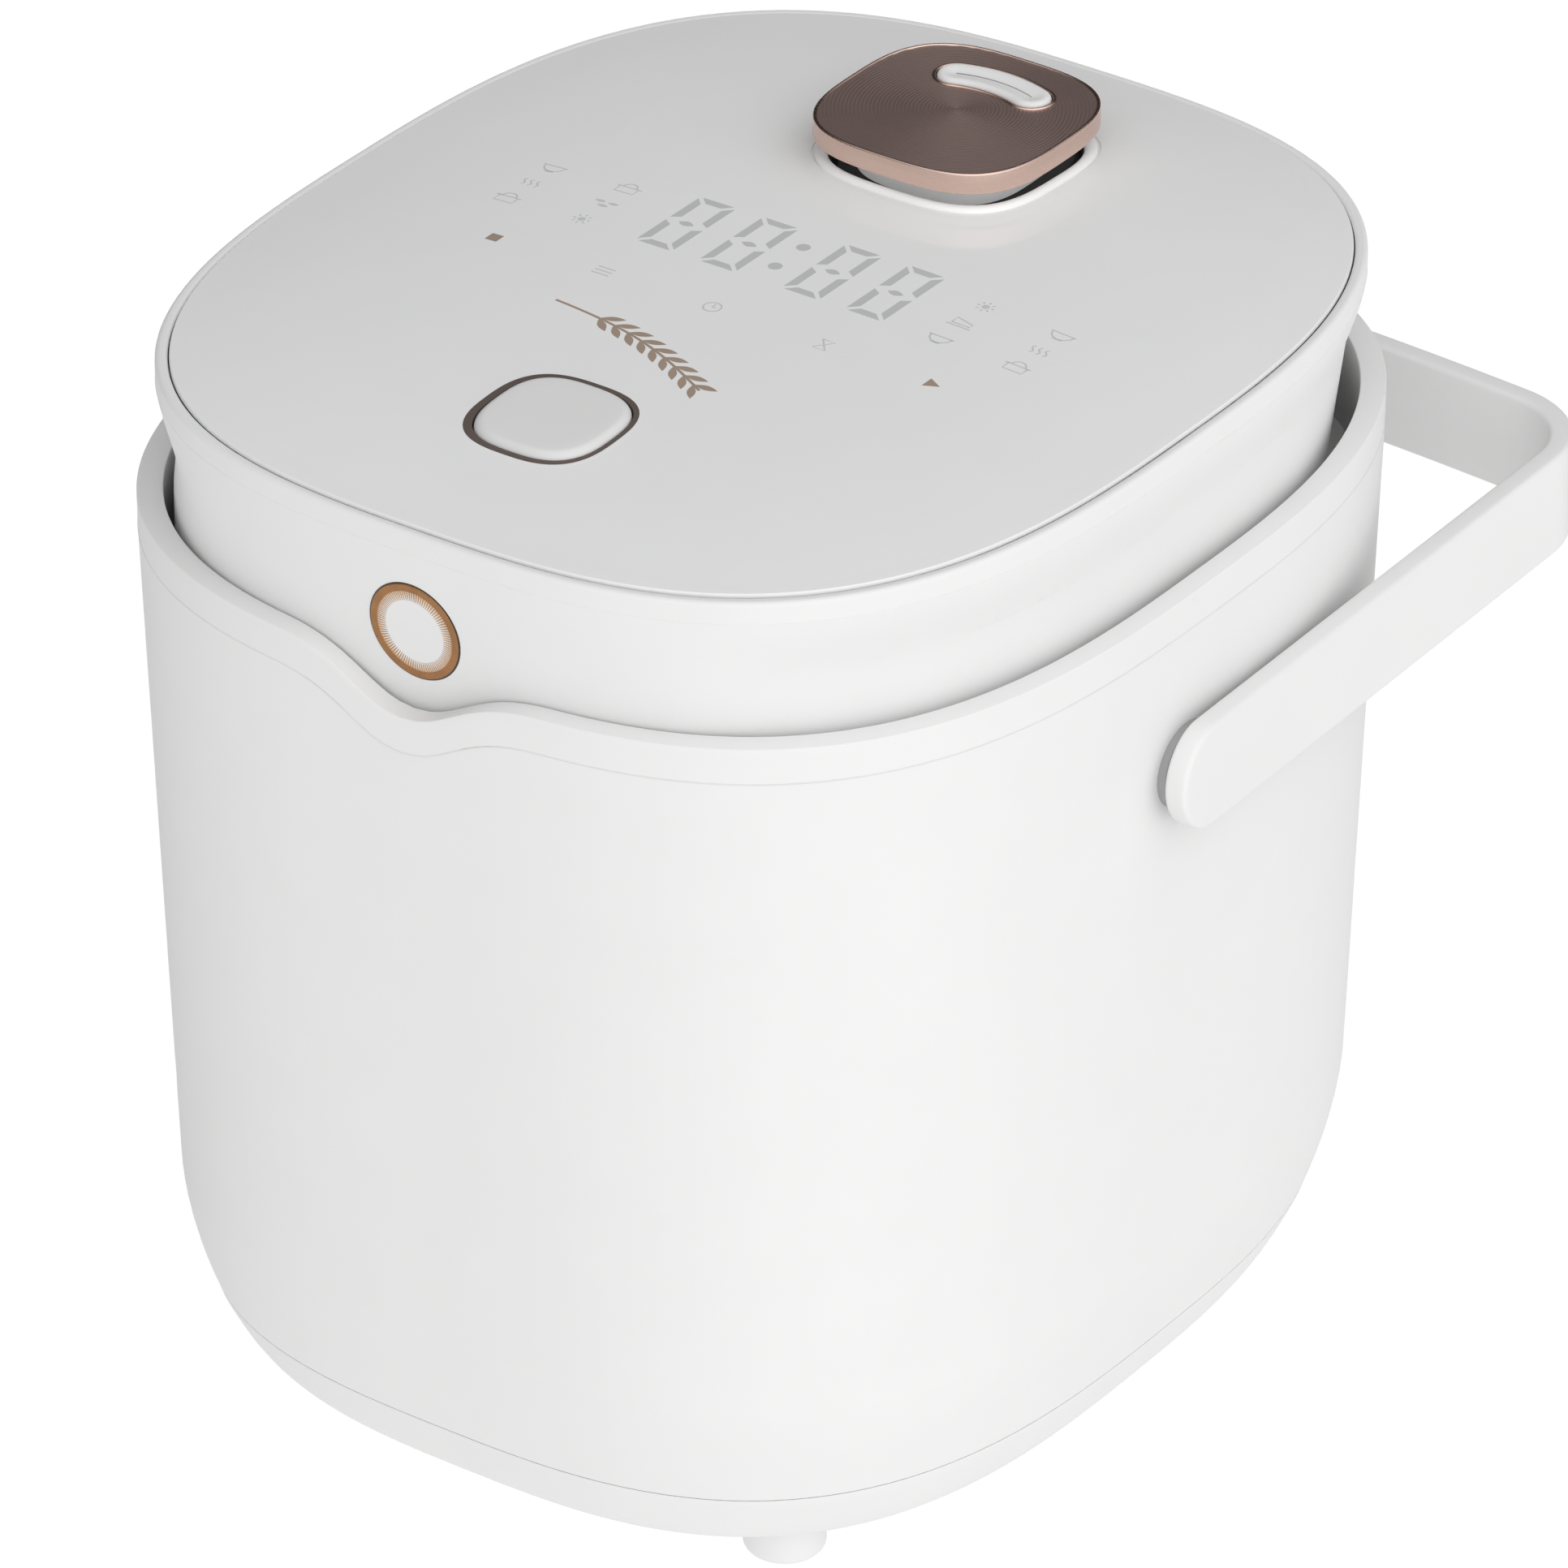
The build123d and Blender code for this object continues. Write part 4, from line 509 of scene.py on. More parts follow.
def cap_slot():
    """White slot insert with a raised rim and a hollow, and the bead round its hole."""
    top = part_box("vent_slot_insert")[1].z
    profile = [(0.0, cap_high.z - SLOT_PIT), (SLOT_HALF_WIDTH, cap_high.z - SLOT_PIT)]
    profile += arc((SLOT_HALF_WIDTH - SLOT_RIM, top - SLOT_RIM), SLOT_RIM, 0, 90, SLOT_RIM_STEPS)
    inner = SLOT_HALF_WIDTH - SLOT_RIM
    for step in range(1, SLOT_DISH_STEPS + 1):
        share = step / SLOT_DISH_STEPS
        profile.append((inner * (1 - share), top - SLOT_DISH * math.sin(share * math.pi / 2) ** 2))
    rings = [lift(slot_loop(offset), height) for offset, height in profile]
    piece("steam_slot", skin(rings, joined=True), "white_plastic", "steam_cap",
          ["vent_slot_insert"])
    middle = (SLOT_HALF_WIDTH + SLOT_GAP + SLOT_BEAD, PLATE_Z)
    profile = arc(middle, SLOT_BEAD, 0, SLOT_BEAD_TURN, SLOT_BEAD_STEPS)
    rings = [lift(slot_loop(offset), height) for offset, height in profile]
    piece("steam_slot_bead", skin(rings, joined=True), "rose_bronze", "steam_cap")


def cap_neck():
    """Waisted lower body of the cap, and the dark seal round its foot."""
    low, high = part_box("vent_cap_body")
    seal_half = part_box("vent_cap_gasket")[1].x
    waist_low = low.z + FOOT_RISE
    shoulder = cap_low.z + CAP_FOOT_ROUND
    profile = [(NECK_HALF, low.z), (NECK_HALF, shoulder - NECK_ROUND)]
    profile += arc((NECK_HALF + NECK_ROUND, shoulder - NECK_ROUND), NECK_ROUND, 180, 90, NECK_STEPS)
    rings = [lift(squircle(half, NECK_POWER, CAP_Y), height) for half, height in profile]
    for height in (shoulder, high.z):
        rings.append(lift(squircle(high.x, CAP_POWER, CAP_Y), height))
    # The neck's faint glow is painted light on its shaded white
    piece("steam_cap_neck", skin(rings, joined=False), "neck_white_painted_glow", "steam_cap",
          ["vent_cap_body"])

    inner = NECK_HALF - CAP_WALL
    profile = [(inner, low.z), (seal_half, low.z), (seal_half, waist_low - CAP_WALL)]
    profile += [(seal_half - CAP_WALL, waist_low), (inner, waist_low)]
    rings = [lift(squircle(half, CAP_POWER, CAP_Y), height) for half, height in profile]
    piece("steam_cap_seal", skin(rings, joined=True), "black_rubber", "steam_cap",
          ["vent_cap_gasket"])


cap_band()
cap_plate()
cap_slot()
cap_neck()


# Lid wall: straight at the front, and closer to the collar than the solid wall

COLLAR_WALL = 5.1 * MM
LID_DRAFT = 0.114
LID_FLARE = 2.0 * MM
FLARE_START = 5.0 * MM
FLARE_END = 20.0 * MM
WALL_EASE = 7.0 * MM
WALL_FOOT = 42.0 * MM
WALL_LOW = 44.0 * MM
WALL_ROWS = 20
WALL_STATIONS = 280
WALL_TURN = 38.0
WALL_GAP = 1.2 * MM
WALL_SIDE_INSET = 2.9 * MM
WALL_CLOSE_START = 16.0 * MM
WALL_CLOSE_END = 32.0 * MM
WALL_PROUD = 0.02 * MM
WALL_SUNK = 0.3 * MM
FRONT_FULL = 60 * MM
FRONT_NONE = 90 * MM
BACK_FULL = 45 * MM
BACK_NONE = 88 * MM

collar_low, collar_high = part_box("collar")
COLLAR_HALF_X = (collar_high.x - collar_low.x) / 2
COLLAR_HALF_Y = (collar_high.y - collar_low.y) / 2
FOOT_HALVES = Vector((LID_HALF_X - WALL_SIDE_INSET, COLLAR_HALF_Y - COLLAR_WALL - WALL_GAP))
LIP_HALVES = Vector((LID_HALF_X, LID_HALF_Y))
WALL_RUN = WALL_FOOT - FLARE_START - WALL_EASE / 2


def smooth(value, start, end):
    """Smooth step from 0 at the start to 1 at the end."""
    share = min(max((value - start) / (end - start), 0.0), 1.0)
    return share * share * (3 - 2 * share)


def solid_halves(depth):
    """Half sizes of the solid lid wall at a depth below the lip."""
    inset = LID_DRAFT * max(depth - FLARE_START, 0.0) + LID_FLARE * smooth(depth, FLARE_START, FLARE_END)
    return LIP_HALVES - Vector((inset, inset))


def straight_halves(depth):
    """Half sizes of the straight wall at a depth below the lip."""
    below = max(depth - FLARE_START, 0.0)
    run = below - WALL_EASE / 2 if below > WALL_EASE else below ** 2 / (2 * WALL_EASE)
    return LIP_HALVES.lerp(FOOT_HALVES, min(run / WALL_RUN, 1.0))


def wall_point(turn, depth):
    """Place on the lid wall at an angle and a depth, and the place just inside the solid wall."""
    way = Vector((math.cos(turn), math.sin(turn)))
    bend = Vector([math.copysign(abs(part) ** (2 / LID_POWER), part) for part in way])
    solid = solid_halves(depth)
    front = 1 - smooth(abs(bend.x) * LID_HALF_X, FRONT_FULL, FRONT_NONE)
    back = smooth(bend.y * LID_HALF_Y, BACK_FULL, BACK_NONE)
    closing = solid.lerp(FOOT_HALVES, smooth(depth, WALL_CLOSE_START, WALL_CLOSE_END))
    halves = closing.lerp(straight_halves(depth), front).lerp(solid, back)
    halves.x = max(halves.x, solid.x + WALL_PROUD)
    halves.y = max(halves.y, solid.y + WALL_PROUD)
    outer = (halves.x * bend.x, AXIS_Y + halves.y * bend.y, LIP_Z - depth)
    inner = ((solid.x - WALL_SUNK) * bend.x, AXIS_Y + (solid.y - WALL_SUNK) * bend.y, LIP_Z - depth)
    return outer, inner


def lid_wall():
    """Strip over the front and sides of the lid wall."""
    depths = [FLARE_START + (WALL_LOW - FLARE_START) * row / WALL_ROWS for row in range(WALL_ROWS + 1)]
    rings = []
    for station in range(WALL_STATIONS + 1):
        turn = math.radians(WALL_TURN - (180 + 2 * WALL_TURN) * station / WALL_STATIONS)
        column = [wall_point(turn, depth) for depth in depths]
        rings.append([outer for outer, inner in column] + [inner for outer, inner in reversed(column)])
    piece("lid_wall", skin(rings, joined=False), "white_plastic", "lid")


lid_wall()


# Emblem on the front of the lid: rounded ring with fine rays round a plain disc

EMBLEM_RADIUS = 11.3 * MM
EMBLEM_SHIFT = 0.7 * MM
EMBLEM_RISE = 0.5 * MM
EMBLEM_RING_WIDTH = 1.7 * MM
EMBLEM_THICK = 1.6 * MM
EMBLEM_PROUD = 0.3 * MM
EMBLEM_ROUND = 0.2 * MM
EMBLEM_ROUND_STEPS = 4
# Width and rise of the flat dark ring round the band, a painted shadow
PAINTED_SHADOW_WIDTH = 0.3 * MM
PAINTED_SHADOW_PROUD = 0.03 * MM
DISC_PROUD = 0.12 * MM
RAY_COUNT = 96
RAY_DASHES = 6
RAY_GAP = 0.2
RAY_INNER = 7.35 * MM
RAY_WIDTH = 0.5 * MM
RAY_TAPER = 0.8
RAY_PROUD = 0.03 * MM
RAY_SUNK = 0.05 * MM

emblem_low, emblem_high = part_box("emblem_ring")
EMBLEM_Z = (emblem_low.z + emblem_high.z) / 2 + EMBLEM_RISE
EMBLEM_Y = AXIS_Y - straight_halves(LIP_Z - EMBLEM_Z).y
EMBLEM_TILT = math.atan2(LIP_HALVES.y - FOOT_HALVES.y, WALL_RUN)


def on_emblem(across, up, out):
    """Point on the emblem: across and up its face, out from the lid wall."""
    return (
        EMBLEM_SHIFT + across,
        EMBLEM_Y - out * math.cos(EMBLEM_TILT) - up * math.sin(EMBLEM_TILT),
        EMBLEM_Z + up * math.cos(EMBLEM_TILT) - out * math.sin(EMBLEM_TILT),
    )


def emblem():
    """Ring, painted shadow round the ring, disc and rays of the emblem."""
    inner = EMBLEM_RADIUS - EMBLEM_RING_WIDTH
    back = EMBLEM_PROUD - EMBLEM_THICK
    band = [(inner, back), (inner, DISC_PROUD)]
    middle = (EMBLEM_RADIUS - EMBLEM_ROUND, EMBLEM_PROUD - EMBLEM_ROUND)
    band += arc(middle, EMBLEM_ROUND, 90, 0, EMBLEM_ROUND_STEPS)
    band += [(EMBLEM_RADIUS, back)]
    edge = EMBLEM_RADIUS + PAINTED_SHADOW_WIDTH
    # Flat dark ring round the band, nearly flush with the wall: painted shadow at the ring's edge
    painted_shadow = [(EMBLEM_RADIUS, back), (EMBLEM_RADIUS, PAINTED_SHADOW_PROUD), (edge, PAINTED_SHADOW_PROUD), (edge, back)]
    disc = [(inner, back), (inner, DISC_PROUD), (inner / 2, DISC_PROUD)]
    for name, profile, joined, finish, slot, replaced in (
        ("emblem_band", band, True, "emblem_gold", "rose_bronze", ["emblem_ring"]),
        ("emblem_painted_shadow", painted_shadow, True, "dark_plastic", "dark_plastic", []),
        ("emblem_centre", disc, False, "white_plastic", "white_plastic", ["emblem_disc"]),
    ):
        rings = []
        for radius, out in profile:
            ring = []
            for angle in TURNS:
                ring.append(on_emblem(radius * math.cos(angle), radius * math.sin(angle), out))
            rings.append(ring)
        piece(name, skin(rings, joined), finish, "lid", replaced)

    mesh = ([], [])
    for ray in range(RAY_COUNT):
        angle = 2 * math.pi * ray / RAY_COUNT
        for dash in range(RAY_DASHES):
            outer = inner - (inner - RAY_INNER) * dash / RAY_DASHES
            far = inner - (inner - RAY_INNER) * (dash + 1 - RAY_GAP) / RAY_DASHES
            half = RAY_WIDTH / 2 * (1 - RAY_TAPER * dash / RAY_DASHES)
            below = []
            above = []
            for radius, side in ((outer, -half), (outer, half), (far, half), (far, -half)):
                across = radius * math.cos(angle) - side * math.sin(angle)
                up = radius * math.sin(angle) + side * math.cos(angle)
                below.append(on_emblem(across, up, DISC_PROUD - RAY_SUNK))
                above.append(on_emblem(across, up, DISC_PROUD + RAY_PROUD))
            add_prism(mesh, below, above)
    piece("emblem_rays", mesh, "ray_gold", "lid")


emblem()


# Socket of the steam cap: a round bead in the panel, a cup lined black as painted shade, and the steam
# tube

SOCKET_GAP = 0.35 * MM
SOCKET_BEAD = 1.35 * MM
SOCKET_BEAD_STEPS = 14
SOCKET_PROUD = 1.1 * MM
SOCKET_SHIFT = (0.5 * MM, -0.9 * MM)
FLANGE_HALF = 28.4 * MM
FLANGE_SINK = 0.5 * MM
SOCKET_SKIRT = 4.6 * MM
SOCKET_FLOOR_GAP = 0.8 * MM
SOCKET_FLOOR = 1.6 * MM
SHADE_LINING_THICK = 0.2 * MM
SHADE_LINING_GAP = 0.01 * MM
TUBE_RADIUS = 7.0 * MM
TUBE_WALL = 1.5 * MM
CIRCLE_POWER = 2.0


def shifted(half):
    """Outline of the socket's bead and cup at one size."""
    return squircle(half, CAP_POWER, CAP_Y + SOCKET_SHIFT[1], centre_x=SOCKET_SHIFT[0])


def socket():
    """Bead, cup and tube in one piece, with a thin black lining inside the cup as painted shade."""
    half = CAP_HALF - SOCKET_GAP
    inner = half - 2 * SOCKET_BEAD
    floor_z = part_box("vent_cap_body")[0].z - SOCKET_FLOOR_GAP
    tube_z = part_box("vent_socket")[0].z
    middle = SOCKET_PROUD - SOCKET_BEAD
    flange = squircle(FLANGE_HALF, CAP_POWER, CAP_Y)
    rings = [on_crown(flange, -SOCKET_SKIRT), on_crown(flange, -FLANGE_SINK)]
    bead = arc((SOCKET_BEAD, middle), SOCKET_BEAD, 180, 0, SOCKET_BEAD_STEPS)
    for inset, rise in [(0.0, -FLANGE_SINK)] + bead:
        rings.append(on_crown(shifted(half - inset), rise))
    rings.append(lift(shifted(inner), floor_z))
    for radius, height in (
        (TUBE_RADIUS, floor_z),
        (TUBE_RADIUS, tube_z),
        (TUBE_RADIUS + TUBE_WALL, tube_z),
        (TUBE_RADIUS + TUBE_WALL, floor_z - SOCKET_FLOOR),
    ):
        rings.append(lift(squircle(radius, CIRCLE_POWER, CAP_Y), height))
    rings.append(lift(squircle(half, CAP_POWER, CAP_Y), floor_z - SOCKET_FLOOR))
    piece("steam_socket", skin(rings, joined=True), "bead_white", "lid", ["vent_socket"])

    wall = shifted(inner - SHADE_LINING_GAP)
    lining = shifted(inner - SHADE_LINING_THICK)
    rings = [on_crown(wall, middle), on_crown(lining, middle), lift(lining, floor_z), lift(wall, floor_z)]
    # Black lining of the cup: painted shade that darkens the cup round the plug
    piece("steam_cup_painted_shade_lining", skin(rings, joined=True), "black_rubber", "lid")


socket()


# Opening button: a low cushion in a flush dark ring

BUTTON_POWER = 2.8
BUTTON_HALF = 15.0 * MM
BUTTON_SHIFT = (0.3 * MM, 0.2 * MM)
BUTTON_PROUD = 1.2 * MM
BUTTON_ROUND = (2.1 * MM, 2.0 * MM)
BUTTON_STEPS = 8
BUTTON_SIDE = 4.0 * MM
BEZEL_GAP = 0.3 * MM
BEZEL_HALF = 16.75 * MM
BEZEL_PROUD = 0.03 * MM
SEAT_HALF = 17.6 * MM
SEAT_PROUD = 0.02 * MM
BEZEL_THICK = 1.5 * MM
CUSHION_RINGS = (0.8, 0.6, 0.4, 0.2)

button_low, button_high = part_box("open_button")
BUTTON_Y = (button_low.y + button_high.y) / 2


def button_plan(half):
    """Outline of the button at one size."""
    return squircle(half, BUTTON_POWER, BUTTON_Y + BUTTON_SHIFT[1], centre_x=BUTTON_SHIFT[0])


def button():
    """Cushion that presses, the ring round it and the seat of the ring in the panel."""
    wide, tall = BUTTON_ROUND
    rings = [on_crown(button_plan(BUTTON_HALF), BUTTON_PROUD - tall - BUTTON_SIDE)]
    for across, up in arc((0.0, 0.0), 1.0, 0, 90, BUTTON_STEPS):
        plan = button_plan(BUTTON_HALF - wide * (1 - across))
        rings.append(on_crown(plan, BUTTON_PROUD - tall * (1 - up)))
    for share in CUSHION_RINGS:
        rings.append(on_crown(button_plan((BUTTON_HALF - wide) * share), BUTTON_PROUD))
    piece("button_cushion", skin(rings, joined=False), "button_white", "button",
          ["open_button"])

    seat = squircle(SEAT_HALF, BUTTON_POWER, BUTTON_Y)
    outer = squircle(BEZEL_HALF, BUTTON_POWER, BUTTON_Y)
    inner = button_plan(BUTTON_HALF + BEZEL_GAP)
    for name, near, far, proud, finish, replaced in (
        ("button_ring", inner, outer, BEZEL_PROUD, "dark_bronze", ["button_bezel"]),
        ("button_seat", outer, seat, SEAT_PROUD, "panel_white", []),
    ):
        rings = [on_crown(near, proud), on_crown(far, proud)]
        rings += [on_crown(far, -BEZEL_THICK), on_crown(near, -BEZEL_THICK)]
        piece(name, skin(rings, joined=True), finish, "lid", replaced)


button()


# Rounded edge of the panel, over the sharp rim of the solid one

EDGE_START = 8.7 * MM
EDGE_TURN = 3.05 * MM
EDGE_ROUND = (0.3 * MM, 0.8 * MM)
EDGE_FLAT = 0.15 * MM
EDGE_FLUSH = 0.035 * MM
EDGE_SUNK = 0.06 * MM
EDGE_DEEP = 1.9 * MM
EDGE_STEPS = 8
EDGE_POINTS = 384
SEAL_NEAR = 2.3 * MM
SEAL_FAR = 2.9 * MM
SEAL_SINK = 0.55 * MM
SEAL_THICK = 0.8 * MM


def panel_edge():
    """Ring that gives the panel its soft edge, and the dark seal between it and the lip."""
    wide, tall = EDGE_ROUND
    profile = [(EDGE_START, -EDGE_DEEP), (EDGE_START, -EDGE_SUNK), (EDGE_TURN + EDGE_FLAT, EDGE_FLUSH)]
    for across, up in arc((0.0, 0.0), 1.0, 90, 0, EDGE_STEPS):
        profile.append((EDGE_TURN - wide * across, EDGE_FLUSH - tall * (1 - up)))
    profile += [(EDGE_TURN - wide, -EDGE_DEEP)]
    rings = []
    for inset, rise in profile:
        plan = superellipse(LID_HALF_X - inset, LID_HALF_Y - inset, LID_POWER, EDGE_POINTS)
        rings.append(on_crown(plan, rise))
    piece("panel_edge", skin(rings, joined=True), "panel_white", "lid")

    low, high = LIP_Z - SEAL_SINK - SEAL_THICK, LIP_Z - SEAL_SINK
    rings = []
    for inset, height in ((SEAL_NEAR, low), (SEAL_NEAR, high), (SEAL_FAR, high), (SEAL_FAR, low)):
        plan = superellipse(LID_HALF_X - inset, LID_HALF_Y - inset, LID_POWER, EDGE_POINTS)
        rings.append(lift(plan, height))
    piece("panel_seal", skin(rings, joined=True), "black_rubber", "lid")


panel_edge()


# Flat top of the collar with crisp edges, along the dip at the front

TOP_EDGE = 0.3 * MM
TOP_PROUD = 0.02 * MM
TOP_SKIRT = 2.6 * MM
TOP_STEPS = 4
TOP_POINTS = 720
DIP_REACH = 60 * MM
DOWN = Vector((0.0, 0.0, -1.0))

collar_tree = BVHTree.FromObject(nodes["collar"], bpy.context.evaluated_depsgraph_get())


def collar_level(x, y):
    """Height of the collar's top at a place on its outline."""
    if y > AXIS_Y or abs(x) > DIP_REACH:
        return collar_high.z
    half_x = COLLAR_HALF_X - COLLAR_WALL / 2
    half_y = COLLAR_HALF_Y - COLLAR_WALL / 2
    middle_y = AXIS_Y - half_y * (1 - abs(x / half_x) ** LID_POWER) ** (1 / LID_POWER)
    hit = collar_tree.ray_cast(Vector((x, middle_y, LIP_Z)), DOWN)
    return hit[0].z


def collar_top():
    """Ring over the collar's rounded top."""
    profile = [(-TOP_PROUD, -TOP_SKIRT)]
    profile += arc((TOP_EDGE - TOP_PROUD, TOP_PROUD - TOP_EDGE), TOP_EDGE, 180, 90, TOP_STEPS)
    profile += arc((COLLAR_WALL - TOP_EDGE, TOP_PROUD - TOP_EDGE), TOP_EDGE, 90, 0, TOP_STEPS)
    profile += [(COLLAR_WALL, -TOP_SKIRT)]
    rings = []
    for inset, rise in profile:
        plan = superellipse(COLLAR_HALF_X - inset, COLLAR_HALF_Y - inset, LID_POWER, TOP_POINTS)
        rings.append([(x, y, collar_level(x, y) + rise) for x, y in plan])
    piece("collar_top", skin(rings, joined=True), "white_plastic", "body")


collar_top()


# Fine joint line under the collar, along the dip at the front

JOINT_GAP = 0.25 * MM
JOINT_HALF = 0.17 * MM
JOINT_PROUD = 0.02 * MM
JOINT_DEEP = 0.8 * MM
JOINT_PROBE = 1.3 * MM
JOINT_POINTS = 720

shell_tree = BVHTree.FromObject(nodes["outer_shell"], bpy.context.evaluated_depsgraph_get())


def joint_line():
    """Ribbon over the joint between the collar and the outer shell."""
    probe = superellipse(COLLAR_HALF_X - JOINT_PROBE, COLLAR_HALF_Y - JOINT_PROBE, LID_POWER, JOINT_POINTS)
    levels = []
    for x, y in probe:
        hit = shell_tree.ray_cast(Vector((x, y, collar_high.z)), DOWN)
        levels.append(hit[0].z + JOINT_GAP / 2)
    rings = []
    for inset, side in ((JOINT_DEEP, -1), (-JOINT_PROUD, -1), (-JOINT_PROUD, 1), (JOINT_DEEP, 1)):
        plan = superellipse(COLLAR_HALF_X - inset, COLLAR_HALF_Y - inset, LID_POWER, JOINT_POINTS)
        rings.append([(x, y, level + side * JOINT_HALF) for (x, y), level in zip(plan, levels)])
    piece("collar_joint", skin(rings, joined=True), "seam_grey", "body")


joint_line()


# Spacers of the handle: low round bosses between the wall and the strap, white plastic darkened as painted
# shade

SPACER_INSET = 1.5 * MM
SPACER_ROUND = 0.4 * MM
SPACER_ROOT = 3.0 * MM
SPACER_STEPS = 4


def spacers():
    """Round bosses, one on each side."""
    for side, name in ((-1, "left"), (1, "right")):
        low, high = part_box("pivot_boss_" + name)
        radius = (high.z - low.z) / 2 - SPACER_INSET
        face = max(abs(low.x), abs(high.x))
        root = min(abs(low.x), abs(high.x)) - SPACER_ROOT
        profile = [(radius, root)]
        for across, out in arc((0.0, 0.0), 1.0, 0, 90, SPACER_STEPS):
            profile.append((radius - SPACER_ROUND * (1 - across), face - SPACER_ROUND * (1 - out)))
        middle = (low + high) / 2
        rings = []
        for reach, x in profile:
            ring = []
            for angle in TURNS:
                y = middle.y + reach * math.cos(angle)
                ring.append((side * x, y, middle.z + reach * math.sin(angle)))
            rings.append(ring)
        piece("handle_spacer_" + name, skin(rings, joined=False), "spacer_painted_shade", "body",
              ["pivot_boss_" + name])


spacers()


# Coil springs of the sensor, the button and the latch

COIL_STEPS = 24
COIL_SIDES = 8
COIL_PLAY = 0.05 * MM

# Piece, node, body, joint, wire radius and number of turns of each coil
COILS = (
    ("sensor_coil", "sensor_spring", "body", "sensor_travel", 0.5 * MM, 6),
    ("button_coil", "button_spring", "lid", "button_press", 0.45 * MM, 4),
    ("latch_coil", "latch_spring", "lid", "latch_turn", 0.4 * MM, 6),
)


def coil_rings(low, high, wire, turns):
    """Rings of points along an upright coil of round wire that fills a box."""
    middle = (low + high) / 2
    radius = (high.x - low.x) / 2 - wire
    bottom = low.z + wire + COIL_PLAY
    rise = high.z - low.z - 2 * (wire + COIL_PLAY)
    climb = math.atan2(rise, 2 * math.pi * radius * turns)
    rings = []
    for step in range(turns * COIL_STEPS + 1):
        angle = 2 * math.pi * step / COIL_STEPS
        outward = Vector((math.cos(angle), math.sin(angle), 0.0))
        along = Vector((-math.sin(angle), math.cos(angle), 0.0))
        upward = Vector((0.0, 0.0, math.cos(climb))) - along * math.sin(climb)
        place = Vector((middle.x, middle.y, bottom + rise * step / (turns * COIL_STEPS)))
        place += outward * radius
        ring = []
        for side in range(COIL_SIDES):
            turn = 2 * math.pi * side / COIL_SIDES
            ring.append(place + (outward * math.cos(turn) + upward * math.sin(turn)) * wire)
        rings.append(ring)
    return rings


def springs():
    """Coils, each filling the box of its spring node."""
    for name, node, body, joint, wire, turns in COILS:
        low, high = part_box(node)
        shape = skin(coil_rings(low, high, wire, turns), joined=False)
        made = piece(name, shape, "spring_steel", body, [node])
        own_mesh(made)


springs()


# Prints on the panel: thin slabs laid on the crowned surface

PRINT_PROUD = 0.03 * MM
PRINT_SUNK = 0.08 * MM
PROBE_RISE = 1.0
STROKE = 0.42
LENS_STEPS = 7

panel_tree = BVHTree.FromObject(nodes["top_panel"], bpy.context.evaluated_depsgraph_get())


def panel_point(x, y, rise):
    """Point on the panel at a place in millimetres from the pot's axis."""
    start = Vector((x * MM, y * MM + AXIS_Y, cad_high.z + PROBE_RISE))
    hit = panel_tree.ray_cast(start, DOWN)
    return (start.x, start.y, hit[0].z + rise)


def add_slab(mesh, outline):
    """Adds a flat slab on the panel, with an outline in millimetres."""
    below = [panel_point(x, y, -PRINT_SUNK) for x, y in outline]
    above = [panel_point(x, y, PRINT_PROUD) for x, y in outline]
    add_prism(mesh, below, above)


def moved(outline, x, y):
    """Outline moved to a place."""
    return [(x + across, y + ahead) for across, ahead in outline]


def stroke(points, width=STROKE):
    """Outline of a line of one width along points."""
    left = []
    right = []
    for step, (x, y) in enumerate(points):
        before = points[max(step - 1, 0)]
        after = points[min(step + 1, len(points) - 1)]
        way = Vector((after[0] - before[0], after[1] - before[1])).normalized() * width / 2
        left.append((x - way.y, y + way.x))
        right.append((x + way.y, y - way.x))
    return left + right[::-1]


def lens(length, width):
    """Pointed oval outline along X."""
    upper = []
    for step in range(LENS_STEPS + 1):
        share = step / LENS_STEPS
        upper.append((length * (share - 0.5), width / 2 * math.sin(math.pi * share)))
    return upper + [(x, -y) for x, y in upper[-2:0:-1]]


# Digits, in millimetres
DIGIT_WIDTH = 9.65
DIGIT_HEIGHT = 24.0
DIGIT_BAR = 2.1
DIGIT_SPLIT = 0.75
DIGIT_LEFT = -31.1
DIGIT_LOW = -4.5
DIGIT_OFFSETS = (0.0, 16.5, 38.2, 54.5)
COLON_X = 0.5
COLON_HEIGHTS = (13.0, 2.6)
COLON_RADIUS = 1.6
COLON_STEPS = 24


def digit():
    """Outlines of the seven bars of an eight."""
    width, height, bar, split = DIGIT_WIDTH, DIGIT_HEIGHT, DIGIT_BAR, DIGIT_SPLIT
    middle = height / 2
    across = [(split, height), (width - split, height)]
    across += [(width - bar - split, height - bar), (bar + split, height - bar)]
    upright = [(0, height - split), (bar, height - bar - split), (bar, middle + bar), (0, middle + split)]
    bars = [moved(lens(width - 2 * bar - 2 * split, bar), width / 2, middle)]
    for flip in (False, True):
        bars.append([(x, height - y if flip else y) for x, y in across])
        for mirror in (False, True):
            bars.append([(width - x if mirror else x, height - y if flip else y) for x, y in upright])
    return bars


def dot(centre, radius, steps):
    """Round outline."""
    return arc(centre, radius, 0, 360, steps)[:-1]


def digits():
    """Four eights and a colon."""
    mesh = ([], [])
    for offset in DIGIT_OFFSETS:
        for bar in digit():
            add_slab(mesh, moved(bar, DIGIT_LEFT + offset, DIGIT_LOW))
    for height in COLON_HEIGHTS:
        add_slab(mesh, dot((COLON_X, height), COLON_RADIUS, COLON_STEPS))
    piece("display_digits", mesh, "print_grey", "lid")


